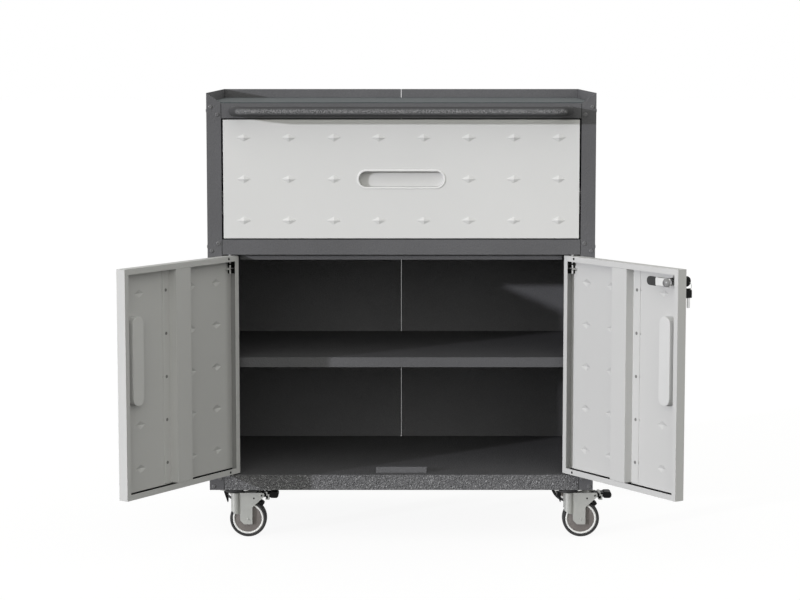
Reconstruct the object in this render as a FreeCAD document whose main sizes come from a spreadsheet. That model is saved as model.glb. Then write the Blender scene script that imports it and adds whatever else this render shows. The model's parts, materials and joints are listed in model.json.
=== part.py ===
"""Rolling tool cabinet: sheet-steel body, one drawer, two doors on pin hinges and four swivel castors.

Millimetres. X runs to the right, Y away from the viewer and Z up; the origin lies on the floor
under the middle of the body. The doors are stored open and the drawer closed.
"""
import FreeCAD, Part
import os
import re

SIZES = [
    ("body_width", 770),
    ("body_depth", 460),
    ("ground_clearance", 105),
    ("base_lip", 31),
    ("door_opening_height", 444),
    ("mid_rail_height", 30),
    ("drawer_opening_height", 240),
    ("top_rail_height", 30),
    ("splash_height", 20),
    ("sheet", 1),
    ("post_face", 29),
    ("rear_flange", 20),
    ("rail_return", 30),
    ("tab_reach", 16),
    ("back_seam", 1),
    ("mat_thickness", 1.5),
    ("mat_margin", 2),
    ("shelf_height", 370),
    ("shelf_lip", 20),
    ("shelf_setback", 30),
    ("shelf_play", 0.5),
    ("clip_reach", 14),
    ("clip_width", 20),
    ("clip_inset", 60),
    ("stop_gap", 2),
    ("stop_drop", 12),
    ("stop_tab_width", 102),
    ("stop_tab_height", 12),
    ("stop_tab_foot", 18),
    ("handle_span", 656),
    ("handle_diameter", 20),
    ("handle_wall", 1.5),
    ("handle_reach", 74),
    ("handle_bend", 34),
    ("screw_head", 8.4),
    ("screw_head_rise", 2.2),
    ("screw_shank", 4.8),
    ("screw_length", 7),
    ("screw_side_inset", 8),
    ("screw_end_inset", 7.5),
    ("screw_wall_inset", 16),
    ("door_gap", 3.5),
    ("door_end_gap", 2.5),
    ("door_meeting_gap", 3),
    ("door_depth", 20),
    ("door_lip", 11),
    ("hinge_inset", 11.5),
    ("open_angle", 123),
    ("swing_clearance", 1),
    ("stop_end_clearance", 3),
    ("hinge_pin", 5),
    ("pin_play", 0.08),
    ("pin_engagement", 4),
    ("bolt_tail", 5),
    ("bolt_travel", 6.5),
    ("pin_collar", 9),
    ("pin_collar_height", 3),
    ("pin_lever", 9),
    ("pin_lever_diameter", 3.5),
    ("guide_width", 15),
    ("guide_height", 3),
    ("guide_drop", 28),
    ("stiffener_face", 45),
    ("stiffener_flange", 20),
    ("stiffener_play", 0.2),
    ("diamond_length", 30),
    ("diamond_height", 16),
    ("diamond_rise", 3.5),
    ("drawer_column_pitch", 89),
    ("drawer_row_pitch", 82),
    ("door_row_pitch", 84),
    ("door_first_column", 38),
    ("door_column_pitch", 79.4),
    ("cup_length", 168),
    ("cup_width", 30.5),
    ("cup_depth", 15),
    ("cup_wall", 1),
    ("cup_bead", 4),
    ("cup_bead_rise", 1.6),
    ("cup_play", 0.2),
    ("cup_edge", 42),
    ("drawer_gap", 3.5),
    ("drawer_end_gap", 2.5),
    ("drawer_front_depth", 20),
    ("drawer_lip", 11),
    ("tray_length", 395),
    ("tray_height", 190),
    ("tray_lift", 14),
    ("slide_thickness", 12.7),
    ("slide_wall", 1.2),
    ("slide_height", 45),
    ("slide_lift", 36),
    ("slide_play", 0.3),
    ("slide_start", 1),
    ("lock_edge", 24),
    ("lock_drop", 26),
    ("lock_barrel_diameter", 18),
    ("lock_bezel_diameter", 22),
    ("lock_bezel_rise", 3),
    ("lock_plug_diameter", 10),
    ("lock_nut_width", 24),
    ("lock_nut_height", 5),
    ("cam_gap", 1),
    ("cam_thickness", 2.5),
    ("cam_width", 14),
    ("cam_length", 34),
    ("key_bow", 20),
    ("key_thickness", 4),
    ("key_standoff", 20),
    ("key_hole", 4.4),
    ("key_hole_margin", 1.8),
    ("key_blade", 2),
    ("key_blade_width", 6.5),
    ("key_blade_length", 21),
    ("key_slot_play", 0.2),
    ("ring_diameter", 16),
    ("ring_wire", 1.2),
    ("ring_play", 0.5),
    ("castor_side_inset", 47),
    ("castor_end_inset", 54),
    ("beam_width", 84),
    ("beam_wall", 1.5),
    ("beam_end_gap", 2),
    ("plate_side", 62),
    ("plate_thickness", 3),
    ("bolt_spacing", 46),
    ("bolt_diameter", 6),
    ("bolt_head", 10),
    ("bolt_head_height", 4),
    ("race_diameter", 44),
    ("race_height", 8),
    ("race_play", 0.3),
    ("kingpin_diameter", 10),
    ("castor_trail", 27),
    ("wheel_diameter", 75),
    ("wheel_width", 24),
    ("tyre_depth", 6),
    ("tyre_shoulder", 3),
    ("wheel_groove_diameter", 52),
    ("wheel_groove_width", 1.2),
    ("wheel_groove_depth", 1.5),
    ("wheel_dish", 1),
    ("axle_diameter", 8),
    ("axle_head", 12),
    ("axle_head_height", 2.5),
    ("axle_play", 0.06),
    ("fork_wall", 3),
    ("fork_gap", 1.5),
    ("fork_front", 6),
    ("fork_tail", 45),
    ("leg_half_width", 13.5),
    ("leg_below_axle", 9),
    ("leg_chamfer", 6),
    ("leg_shoulder", 62),
    ("ear_reach", 60),
    ("ear_height", 12),
    ("brake_pivot_reach", 53),
    ("brake_pin", 5),
    ("brake_hub", 11),
    ("brake_play", 0.4),
    ("pedal_length", 36),
    ("pedal_thickness", 6),
    ("pedal_lip", 4),
    ("shoe_clearance", 0.8),
    ("shoe_width", 6),
]

DERIVED = [
    ("half_width", "body_width / 2"),
    ("front", "-body_depth / 2"),
    ("back", "body_depth / 2"),
    ("inner_half", "half_width - sheet"),
    ("opening_half", "half_width - post_face"),
    ("base_bottom", "ground_clearance"),
    ("base_top", "base_bottom + base_lip"),
    ("mid_bottom", "base_top + door_opening_height"),
    ("mid_top", "mid_bottom + mid_rail_height"),
    ("drawer_top", "mid_top + drawer_opening_height"),
    ("worktop_top", "drawer_top + top_rail_height"),
    ("body_top", "worktop_top + splash_height"),
    ("panel_front", "front + sheet"),
    ("panel_back", "back - 2 * sheet"),
    ("panel_run", "panel_back - panel_front"),
    ("handle_half", "handle_span / 2"),
    ("handle_level", "(drawer_top + worktop_top) / 2"),
    ("door_width", "opening_half - door_gap - door_meeting_gap / 2"),
    ("door_bottom", "base_top + door_end_gap"),
    ("door_top", "mid_bottom - door_end_gap"),
    ("door_height", "door_top - door_bottom"),
    ("hinge_reach", "door_gap + hinge_inset"),
    ("hinge_setback", "(hinge_reach * sin(open_angle * 1 deg) - swing_clearance)"
                      " / (1 - cos(open_angle * 1 deg))"),
    ("hinge_x", "opening_half - hinge_reach"),
    ("hinge_y", "front + hinge_setback"),
    ("skin", "-hinge_setback"),
    ("door_back", "door_depth - hinge_setback"),
    ("swing_radius", "sqrt(hinge_inset * hinge_inset + door_back * door_back)"),
    ("stop_half", "hinge_x - swing_radius - stop_end_clearance"),
    ("stop_setback", "door_depth + stop_gap"),
    ("door_middle", "door_width / 2 - hinge_inset"),
    ("door_level", "(door_bottom + door_top) / 2"),
    ("door_cup_level", "door_level + door_row_pitch / 2"),
    ("door_cup_place", "door_width - hinge_inset - cup_edge"),
    ("drawer_half", "opening_half - drawer_gap"),
    ("drawer_front_bottom", "mid_top + drawer_end_gap"),
    ("drawer_front_top", "drawer_top - drawer_end_gap"),
    ("drawer_level", "(drawer_front_bottom + drawer_front_top) / 2"),
    ("tray_half", "opening_half - slide_thickness"),
    ("tray_front", "front + drawer_front_depth"),
    ("tray_bottom", "mid_top + tray_lift"),
    ("slide_bottom", "tray_bottom + slide_lift"),
    ("lock_place", "door_width - hinge_inset - lock_edge"),
    ("lock_level", "door_top - lock_drop"),
    ("cam_front", "skin + stop_setback + sheet + cam_gap"),
    ("key_centre", "skin - key_standoff"),
    ("ring_place", "key_centre - key_bow / 2 + key_hole / 2 + key_hole_margin"),
    ("ring_seat", "key_hole / 2 - ring_wire / 2 - ring_play"),
    ("castor_x", "half_width - castor_side_inset"),
    ("castor_y", "body_depth / 2 - castor_end_inset"),
    ("plate_bottom", "base_bottom - plate_thickness"),
    ("race_bottom", "plate_bottom - race_height"),
    ("crown_top", "race_bottom - race_play"),
    ("crown_bottom", "crown_top - fork_wall"),
    ("leg_inner", "wheel_width / 2 + fork_gap"),
    ("leg_outer", "leg_inner + fork_wall"),
    ("wheel_radius", "wheel_diameter / 2"),
    ("rim_radius", "wheel_radius - tyre_depth"),
    ("brake_level", "crown_top - ear_height / 2"),
    ("shoe_drop", "sqrt((brake_pivot_reach - castor_trail) * (brake_pivot_reach - castor_trail)"
                  " + (brake_level - wheel_radius) * (brake_level - wheel_radius))"
                  " - wheel_radius - shoe_clearance"),
]

DRAWER_ROWS = 3
DRAWER_COLUMNS = 8
DOOR_ROWS = 5
DOOR_COLUMNS = 4
REAR_LEFT_YAW = 145

doc = FreeCAD.newDocument("rolling_tool_cabinet")
NAMES = {}


def fill_sheet(label, rows):
    """Writes named cells to a sheet; a formula names cells of any sheet filled so far."""
    sheet = doc.addObject("Spreadsheet::Sheet", label)
    for number, (alias, content) in enumerate(rows, start=1):
        sheet.set(f"A{number}", alias)
        sheet.set(f"B{number}", str(content) if label == "Sizes" else "=" + bound(content))
        sheet.setAlias(f"B{number}", alias)
        NAMES[alias] = label
    doc.recompute()
    return sheet


def bound(formula):
    """Gives each cell name in a formula its sheet, so that a property can follow it."""
    def with_sheet(match):
        word = match.group()
        return f"{NAMES[word]}.{word}" if word in NAMES else word
    return re.sub(r"[a-z_]+", with_sheet, str(formula))


fill_sheet("Sizes", SIZES)
fill_sheet("Places", DERIVED)


def mm(alias):
    """The value of a named cell."""
    return float(doc.getObject(NAMES[alias]).get(alias))


def bind(thing, **formulas):
    """Ties properties to formulas; a double underscore stands for a dot in the property's path."""
    for path, formula in formulas.items():
        thing.setExpression(path.replace("__", "."), bound(formula))
    return thing


def place(thing, x, y, z):
    """Ties an object's place to formulas."""
    return bind(thing, Placement__Base__x=x, Placement__Base__y=y, Placement__Base__z=z)


def box(name, x, y, z, dx, dy, dz):
    """A block from its lowest corner and its three lengths."""
    block = doc.addObject("Part::Box", name)
    bind(block, Length=dx, Width=dy, Height=dz)
    return place(block, x, y, z)


TURNS = {
    "x": FreeCAD.Rotation(FreeCAD.Vector(0, 1, 0), 90),
    "y": FreeCAD.Rotation(FreeCAD.Vector(1, 0, 0), -90),
    "z": FreeCAD.Rotation(),
}


def rod(name, x, y, z, radius, length, axis="z"):
    """A round bar that starts at a point and runs along one axis."""
    bar = doc.addObject("Part::Cylinder", name)
    bar.Placement.Rotation = TURNS[axis]
    bind(bar, Radius=radius, Height=length)
    return place(bar, x, y, z)


def cone(name, x, y, z, start_radius, end_radius, length, turn):
    """A tapered round bar."""
    bar = doc.addObject("Part::Cone", name)
    bar.Placement.Rotation = turn
    bind(bar, Radius1=start_radius, Radius2=end_radius, Height=length)
    return place(bar, x, y, z)


def fuse(name, pieces):
    """One solid from pieces that share faces or overlap."""
    joined = doc.addObject("Part::MultiFuse", name)
    joined.Shapes = pieces
    joined.Refine = True
    return joined


def cut(name, base, tools):
    """A solid with one or more tools taken away."""
    tool = tools[0] if len(tools) == 1 else fuse(name + "_tools", tools)
    result = doc.addObject("Part::Cut", name)
    result.Base = base
    result.Tool = tool
    return result


def group(name, pieces):
    """Separate solids kept together."""
    kept = doc.addObject("Part::Compound", name)
    kept.Links = pieces
    return kept


def solid_feature(name, shape):
    """A piece whose shape is worked out from the named sizes."""
    feature = doc.addObject("Part::Feature", name)
    feature.Shape = shape
    return feature


PARTS = []


def finish(label, thing, spot=None):
    """Names a finished sub-part and, where it is built in its own frame, sets it in the cabinet."""
    thing.Label = label
    if spot is not None:
        thing.Placement = spot
    PARTS.append(thing)
    return thing


def sided(side, start, length):
    """The lowest x of a length measured outwards from the middle plane, on one side."""
    return f"{start}" if side > 0 else f"-({start}) - ({length})"


SIDES = [("left", -1), ("right", 1)]


# Fasteners

SCREW_SPOTS = [
    ("top_outer", "half_width - screw_side_inset", "worktop_top - screw_end_inset"),
    ("top_inner", "opening_half + screw_end_inset", "drawer_top + screw_end_inset"),
    ("mid_inner", "opening_half + screw_end_inset", "mid_top - screw_end_inset"),
    ("mid_outer", "half_width - screw_side_inset", "mid_bottom + screw_end_inset"),
    ("base_inner", "opening_half + screw_end_inset", "base_top - screw_end_inset"),
    ("base_outer", "half_width - screw_side_inset", "base_bottom + screw_end_inset"),
]
WALL_SPOTS = [
    ("front_mid", "front + screw_wall_inset", "(mid_bottom + mid_top) / 2"),
    ("back_mid", "back - screw_wall_inset", "(mid_bottom + mid_top) / 2"),
    ("front_top", "front + screw_wall_inset", "worktop_top - top_rail_height / 2"),
    ("back_top", "back - screw_wall_inset", "worktop_top - top_rail_height / 2"),
]
FACING_FRONT = FreeCAD.Rotation(FreeCAD.Vector(1, 0, 0), 90)
FACING_SIDE = {
    -1: FreeCAD.Rotation(FreeCAD.Vector(0, 1, 0), -90),
    1: FreeCAD.Rotation(FreeCAD.Vector(0, 1, 0), 90),
}


def front_screw_rods(name, spots, side, radius, length):
    """Round bars through the post face at the screws' places."""
    bars = []
    for spot, across, level in spots:
        x = across if side > 0 else f"-({across})"
        bars.append(rod(f"{name}_{spot}", x, "front", level, radius, length, "y"))
    return bars


def wall_screw_rods(name, side, radius, length):
    """Round bars through the side wall at the screws' places."""
    bars = []
    for spot, depth, level in WALL_SPOTS:
        x = sided(side, f"half_width - {length}", length)
        bars.append(rod(f"{name}_{spot}", x, depth, level, radius, length, "x"))
    return bars


def make_frame_screws():
    """Pan-head screws that hold the rails and lips to the side panels."""
    screws = []
    for hand, side in SIDES:
        shanks = front_screw_rods(f"{hand}_shank", SCREW_SPOTS, side, "screw_shank / 2", "screw_length")
        for shank, (spot, across, level) in zip(shanks, SCREW_SPOTS):
            x = across if side > 0 else f"-({across})"
            head = cone(f"{hand}_head_{spot}", x, "front", level, "screw_head / 2",
                        "screw_head / 4", "screw_head_rise", FACING_FRONT)
            screws.append(fuse(f"{hand}_screw_{spot}", [shank, head]))
        shanks = wall_screw_rods(f"{hand}_wall_shank", side, "screw_shank / 2", "screw_length")
        for shank, (spot, depth, level) in zip(shanks, WALL_SPOTS):
            x = "half_width" if side > 0 else "-half_width"
            head = cone(f"{hand}_wall_head_{spot}", x, depth, level, "screw_head / 2",
                        "screw_head / 4", "screw_head_rise", FACING_SIDE[side])
            screws.append(fuse(f"{hand}_wall_screw_{spot}", [shank, head]))
    finish("frame_screws", group("frame_screws", screws))


# Cabinet body

def make_side_panel(hand, side):
    """Side sheet with a front flange that is the post, mitred at the top, and a rear flange."""
    wall = box(f"{hand}_wall", sided(side, "inner_half", "sheet"), "front", "base_bottom",
               "sheet", "body_depth", "body_top - base_bottom")
    post = box(f"{hand}_post", sided(side, "opening_half", "post_face"), "front", "base_bottom",
               "post_face", "sheet", "worktop_top - base_bottom")
    mitre = doc.addObject("Part::Wedge", f"{hand}_mitre")
    mitre.Placement.Rotation = FreeCAD.Rotation(FreeCAD.Vector(1, 0, 0), 90)
    low, high = ("opening_half", "half_width") if side > 0 else ("-half_width", "-opening_half")
    top_low, top_high = ("inner_half", "half_width") if side > 0 else ("-half_width", "-inner_half")
    bind(mitre, Xmin=low, Xmax=high, X2min=top_low, X2max=top_high, Ymin="worktop_top", Ymax="body_top",
         Zmin="-front - sheet", Zmax="-front", Z2min="-front - sheet", Z2max="-front")
    rear = box(f"{hand}_rear", sided(side, "half_width - rear_flange", "rear_flange"), "back - sheet",
               "base_bottom", "rear_flange", "sheet", "body_top - base_bottom")
    holes = front_screw_rods(f"{hand}_post_hole", SCREW_SPOTS, side, "screw_shank / 2", "2 * sheet")
    holes += wall_screw_rods(f"{hand}_wall_hole", side, "screw_shank / 2", "2 * sheet")
    folded = fuse(f"{hand}_side_sheet", [wall, post, mitre, rear])
    finish(f"{hand}_side_panel", cut(f"{hand}_side_panel", folded, holes))


def make_back_panel(hand, side):
    """One of the two back sheets, which meet at a narrow seam and rise to form the splash."""
    width = "inner_half - back_seam / 2"
    panel = box(f"{hand}_back_panel", sided(side, "back_seam / 2", width), "panel_back", "base_bottom",
                width, "sheet", "body_top - base_bottom")
    finish(f"{hand}_back_panel", panel)


def rail_tabs(name, low, high, spots):
    """Tabs at both ends of a rail that lie behind the posts, and the holes through them."""
    tabs = []
    holes = []
    for hand, side in SIDES:
        start = "opening_half - tab_reach / 2"
        width = "tab_reach / 2 + post_face - 2 * sheet"
        tabs.append(box(f"{name}_{hand}_tab", sided(side, start, width), "panel_front", low,
                        width, "sheet", f"{high} - {low}"))
        holes += front_screw_rods(f"{name}_{hand}_hole", spots, side, "screw_shank / 2", "3 * sheet")
    return tabs, holes


def full_width_box(name, half, y, z, dy, dz):
    """A block centred on the middle plane."""
    return box(name, f"-({half})", y, z, f"2 * ({half})", dy, dz)


def make_worktop():
    """Top sheet with the front rail folded down and a return under the rail."""
    top = full_width_box("worktop_sheet", "inner_half", "panel_front", "worktop_top - sheet",
                         "panel_run", "sheet")
    rail = full_width_box("top_rail", "opening_half", "front", "drawer_top", "sheet", "top_rail_height")
    under = full_width_box("top_rail_return", "opening_half", "front", "drawer_top", "rail_return", "sheet")
    tabs, holes = rail_tabs("worktop", "drawer_top", "worktop_top", SCREW_SPOTS[0:2])
    finish("worktop", cut("worktop", fuse("worktop_folds", [top, rail, under] + tabs), holes))
    mat = full_width_box("worktop_mat", "inner_half - mat_margin", "panel_front + mat_margin", "worktop_top",
                         "panel_run - 2 * mat_margin", "mat_thickness")
    finish("worktop_mat", mat)


def hinge_holes(name, z, length):
    """Holes for the door pins, on both hinge axes."""
    return [rod(f"{name}_{hand}_pin_hole", f"{side} * hinge_x", "hinge_y", z,
                "hinge_pin / 2 + pin_play", length) for hand, side in SIDES]


def make_mid_rail():
    """Channel between drawer and doors; its lower flange holds the top pins and ends in the door stop."""
    face = full_width_box("mid_rail_face", "opening_half", "front", "mid_bottom", "sheet", "mid_rail_height")
    over = full_width_box("mid_rail_top", "opening_half", "front", "mid_top - sheet", "rail_return", "sheet")
    under = full_width_box("mid_rail_under", "opening_half", "front", "mid_bottom",
                           "stop_setback + sheet", "sheet")
    stop = full_width_box("mid_rail_stop", "stop_half", "front + stop_setback", "mid_bottom - stop_drop",
                          "sheet", "stop_drop")
    tabs, holes = rail_tabs("mid_rail", "mid_bottom", "mid_top", SCREW_SPOTS[2:4])
    holes += hinge_holes("mid_rail", "mid_bottom - sheet", "3 * sheet")
    finish("mid_rail", cut("mid_rail", fuse("mid_rail_folds", [face, over, under, stop] + tabs), holes))


def make_floor_panel():
    """Cabinet floor: a pan turned upside down, its front lip flush with the posts."""
    floor = full_width_box("floor_sheet", "inner_half", "panel_front", "base_top - sheet",
                           "panel_run", "sheet")
    lip = full_width_box("floor_front_lip", "opening_half", "front", "base_bottom", "sheet", "base_lip")
    rear = full_width_box("floor_rear_lip", "inner_half", "panel_back - sheet", "base_bottom",
                          "sheet", "base_lip")
    ends = [box(f"floor_{hand}_lip", sided(side, "inner_half - sheet", "sheet"), "panel_front",
                "base_bottom", "sheet", "panel_run", "base_lip") for hand, side in SIDES]
    tabs, holes = rail_tabs("floor", "base_bottom", "base_top", SCREW_SPOTS[4:6])
    holes += hinge_holes("floor", "base_top - 2 * sheet", "3 * sheet")
    finish("floor_panel", cut("floor_panel", fuse("floor_folds", [floor, lip, rear] + ends + tabs), holes))
    foot = full_width_box("stop_foot", "stop_tab_width / 2", "front + stop_setback", "base_top",
                          "stop_tab_foot", "sheet")
    upright = full_width_box("stop_upright", "stop_tab_width / 2", "front + stop_setback", "base_top",
                             "sheet", "stop_tab_height")
    finish("door_stop", fuse("door_stop", [foot, upright]))


def make_shelf():
    """Shelf with front and rear lips, carried by four clips on the side panels."""
    half = "inner_half - shelf_play"
    start = "front + shelf_setback"
    run = "panel_back - shelf_play - front - shelf_setback"
    sheet = full_width_box("shelf_sheet", half, start, "shelf_height - sheet", run, "sheet")
    lip = full_width_box("shelf_front_lip", half, start, "shelf_height - shelf_lip", "sheet", "shelf_lip")
    rear = full_width_box("shelf_rear_lip", half, "panel_back - shelf_play - sheet",
                          "shelf_height - shelf_lip", "sheet", "shelf_lip")
    finish("shelf", fuse("shelf", [sheet, lip, rear]))
    clips = []
    for hand, side in SIDES:
        for end, y in (("front", "front + shelf_setback + clip_inset"),
                       ("back", "back - clip_inset - clip_width")):
            ledge = box(f"{hand}_{end}_ledge", sided(side, "inner_half - clip_reach", "clip_reach"), y,
                        "shelf_height - 2 * sheet", "clip_reach", "clip_width", "sheet")
            leaf = box(f"{hand}_{end}_leaf", sided(side, "inner_half - sheet", "sheet"), y,
                       "shelf_height - shelf_lip", "sheet", "clip_width", "shelf_lip - sheet")
            clips.append(fuse(f"{hand}_{end}_clip", [ledge, leaf]))
    finish("shelf_clips", group("shelf_clips", clips))


def handle_line():
    """The push handle's centre line: two legs, two quarter bends and the grip."""
    half, bend, level = mm("handle_half"), mm("handle_bend"), mm("handle_level")
    wall, outer = mm("front"), mm("front") - mm("handle_reach")
    middle = bend * (1 - 0.5 ** 0.5)
    legs, turns = [], []
    for hand, side in SIDES:
        foot, leg_end, turn, grip_end = [
            FreeCAD.Vector(side * x, y, level) for x, y in
            ((half, wall), (half, outer + bend), (half - middle, outer + middle), (half - bend, outer))]
        legs.append(Part.makeLine(foot, leg_end))
        turns.append(Part.Arc(leg_end, turn, grip_end).toShape())
    grip = Part.makeLine(turns[0].Vertexes[-1].Point, turns[1].Vertexes[-1].Point)
    return Part.Wire(Part.__sortEdges__(legs + turns + [grip]))


def bent_bar(line, radius):
    """A round bar along the push handle's line."""
    foot = FreeCAD.Vector(-mm("handle_half"), mm("front"), mm("handle_level"))
    ring = Part.Wire(Part.makeCircle(radius, foot, FreeCAD.Vector(0, 1, 0)))
    return line.makePipeShell([ring], True, False)


def make_push_handle():
    """Bent tube that stands out from the top rail."""
    line = handle_line()
    outside = bent_bar(line, mm("handle_diameter") / 2)
    inside = bent_bar(line, mm("handle_diameter") / 2 - mm("handle_wall"))
    finish("push_handle", solid_feature("push_handle", outside.cut(inside)))


# Drawer

def rhombus_pyramids(name, spots, base_y):
    """Four-sided pyramids on a front sheet, one at each (x, z), their points towards the front."""
    half_length = mm("diamond_length") / 2
    half_height = mm("diamond_height") / 2
    rise = mm("diamond_rise")
    solids = []
    for x, z in spots:
        corners = [FreeCAD.Vector(x + dx, base_y, z + dz) for dx, dz in
                   ((half_length, 0), (0, half_height), (-half_length, 0), (0, -half_height))]
        tip = FreeCAD.Vector(x, base_y - rise, z)
        faces = [Part.Face(Part.makePolygon(corners + corners[:1]))]
        for start, end in zip(corners, corners[1:] + corners[:1]):
            faces.append(Part.Face(Part.makePolygon([start, end, tip, start])))
        solid = Part.Solid(Part.Shell(faces))
        if solid.Volume < 0:
            solid.reverse()
        solids.append(solid)
    return solid_feature(name, Part.makeCompound(solids))


def embossed(name, folded, spots, skin_y, holes):
    """A folded pan with diamonds pressed out of its front sheet and openings cut through it."""
    raised = rhombus_pyramids(f"{name}_diamonds", spots, skin_y)
    pressed = rhombus_pyramids(f"{name}_pits", spots, skin_y + mm("sheet"))
    return cut(name, fuse(f"{name}_raised", [folded, raised]), [pressed] + holes)


def slot_bar(name, x, y, z, length, width, depth, upright):
    """A round-ended bar that runs along Y: a block between two round ends, level or upright."""
    straight = f"({length}) - ({width})"
    across, rise = (width, straight) if upright else (straight, width)
    block = box(f"{name}_block", f"{x} - ({across}) / 2", y, f"{z} - ({rise}) / 2", across, depth, rise)
    ends = []
    for end, sign in (("first", "-"), ("second", "+")):
        end_x = x if upright else f"{x} {sign} ({straight}) / 2"
        end_z = f"{z} {sign} ({straight}) / 2" if upright else z
        ends.append(rod(f"{name}_{end}_end", end_x, y, end_z, f"({width}) / 2", depth, "y"))
    return fuse(name, [block] + ends)


def make_pull(label, x, skin_y, z, upright):
    """Recessed pull: a round-ended cup with a raised bead that lies on the front sheet."""
    bead = slot_bar(f"{label}_bead", x, f"{skin_y} - cup_bead_rise", z, "cup_length + 2 * cup_bead",
                    "cup_width + 2 * cup_bead", "cup_bead_rise", upright)
    shell = slot_bar(f"{label}_shell", x, f"{skin_y} - cup_bead_rise", z, "cup_length + 2 * cup_wall",
                     "cup_width + 2 * cup_wall", "cup_bead_rise + cup_depth + cup_wall", upright)
    hollow = slot_bar(f"{label}_hollow", x, f"{skin_y} - 2 * cup_bead_rise", z, "cup_length", "cup_width",
                      "2 * cup_bead_rise + cup_depth", upright)
    return cut(label, fuse(f"{label}_body", [bead, shell]), [hollow])


def pull_opening(name, x, skin_y, z, upright):
    """The hole in a front sheet that takes a pull's cup."""
    return slot_bar(name, x, f"{skin_y} - sheet", z, "cup_length + 2 * cup_wall + 2 * cup_play",
                    "cup_width + 2 * cup_wall + 2 * cup_play", "3 * sheet", upright)


def pan(name, x, width, skin_y, low, high, depth, lip):
    """A front sheet with four returned edges and an inner lip all round."""
    rise = f"({high}) - ({low})"
    rear = f"{skin_y} + {depth} - sheet"
    return fuse(name, [
        box(f"{name}_skin", x, skin_y, low, width, "sheet", rise),
        box(f"{name}_first_side", x, skin_y, low, "sheet", depth, rise),
        box(f"{name}_second_side", f"{x} + {width} - sheet", skin_y, low, "sheet", depth, rise),
        box(f"{name}_foot", x, skin_y, low, width, depth, "sheet"),
        box(f"{name}_head", x, skin_y, f"{high} - sheet", width, depth, "sheet"),
        box(f"{name}_first_lip", x, rear, low, lip, "sheet", rise),
        box(f"{name}_second_lip", f"{x} + {width} - {lip}", rear, low, lip, "sheet", rise),
        box(f"{name}_foot_lip", x, rear, low, width, "sheet", lip),
        box(f"{name}_head_lip", x, rear, f"{high} - {lip}", width, "sheet", lip),
    ])


def make_drawer():
    """Drawer front, pull, tray and the runners on its sides."""
    spots = []
    for row in range(DRAWER_ROWS):
        for column in range(DRAWER_COLUMNS):
            behind_pull = row == DRAWER_ROWS // 2 and column in (DRAWER_COLUMNS // 2 - 1, DRAWER_COLUMNS // 2)
            if not behind_pull:
                x = (column - (DRAWER_COLUMNS - 1) / 2) * mm("drawer_column_pitch")
                z = mm("drawer_level") + (row - (DRAWER_ROWS - 1) / 2) * mm("drawer_row_pitch")
                spots.append((x, z))
    folded = pan("drawer_pan", "-drawer_half", "2 * drawer_half", "front", "drawer_front_bottom",
                 "drawer_front_top", "drawer_front_depth", "drawer_lip")
    opening = pull_opening("drawer_pull_opening", "0", "front", "drawer_level", False)
    finish("drawer_front", embossed("drawer_front", folded, spots, mm("front"), [opening]))
    finish("drawer_pull", make_pull("drawer_pull", "0", "front", "drawer_level", False))
    block = full_width_box("tray_block", "tray_half", "tray_front", "tray_bottom",
                           "tray_length", "tray_height")
    hollow = full_width_box("tray_hollow", "tray_half - sheet", "tray_front + sheet", "tray_bottom + sheet",
                            "tray_length - 2 * sheet", "tray_height")
    finish("drawer_tray", cut("drawer_tray", block, [hollow]))
    for hand, side in SIDES:
        make_slide(hand, side)


def make_slide(hand, side):
    """Drawer slide: a rail on stand-off flanges from the side panel, and the runner inside it."""
    start = "tray_front + slide_start"
    run = "tray_length - slide_start"
    low = "slide_bottom"
    high = "slide_bottom + slide_height - slide_wall"
    web = box(f"{hand}_rail_web", sided(side, "opening_half - slide_wall", "slide_wall"), start, low,
              "slide_wall", run, "slide_height")
    reach = "inner_half - tray_half - slide_wall - slide_play"
    flanges = [box(f"{hand}_rail_{end}", sided(side, "tray_half + slide_wall + slide_play", reach), start, z,
                   reach, run, "slide_wall") for end, z in (("foot", low), ("head", high))]
    finish(f"{hand}_drawer_rail", fuse(f"{hand}_drawer_rail", [web] + flanges))
    inner_low = "slide_bottom + slide_wall + slide_play"
    inner_height = "slide_height - 2 * slide_wall - 2 * slide_play"
    depth = "slide_thickness - slide_wall - slide_play"
    plate = box(f"{hand}_runner_web", sided(side, "tray_half", "slide_wall"), start, inner_low,
                "slide_wall", run, inner_height)
    ends = [box(f"{hand}_runner_foot", sided(side, "tray_half", depth), start, inner_low,
                depth, run, "slide_wall"),
            box(f"{hand}_runner_head", sided(side, "tray_half", depth), start,
                f"{inner_low} + {inner_height} - slide_wall", depth, run, "slide_wall")]
    finish(f"{hand}_drawer_runner", fuse(f"{hand}_drawer_runner", [plate] + ends))


# Doors, built about the hinge axis as if closed and then swung open

def along(way, start, length):
    """The lowest x of a length measured from the hinge axis towards the free edge."""
    return f"{start}" if way > 0 else f"-({start}) - ({length})"


def door_spot(side):
    """The door's frame: on the hinge axis, swung open."""
    turn = FreeCAD.Rotation(FreeCAD.Vector(0, 0, 1), side * mm("open_angle"))
    return FreeCAD.Placement(FreeCAD.Vector(side * mm("hinge_x"), mm("hinge_y"), 0), turn)


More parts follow.
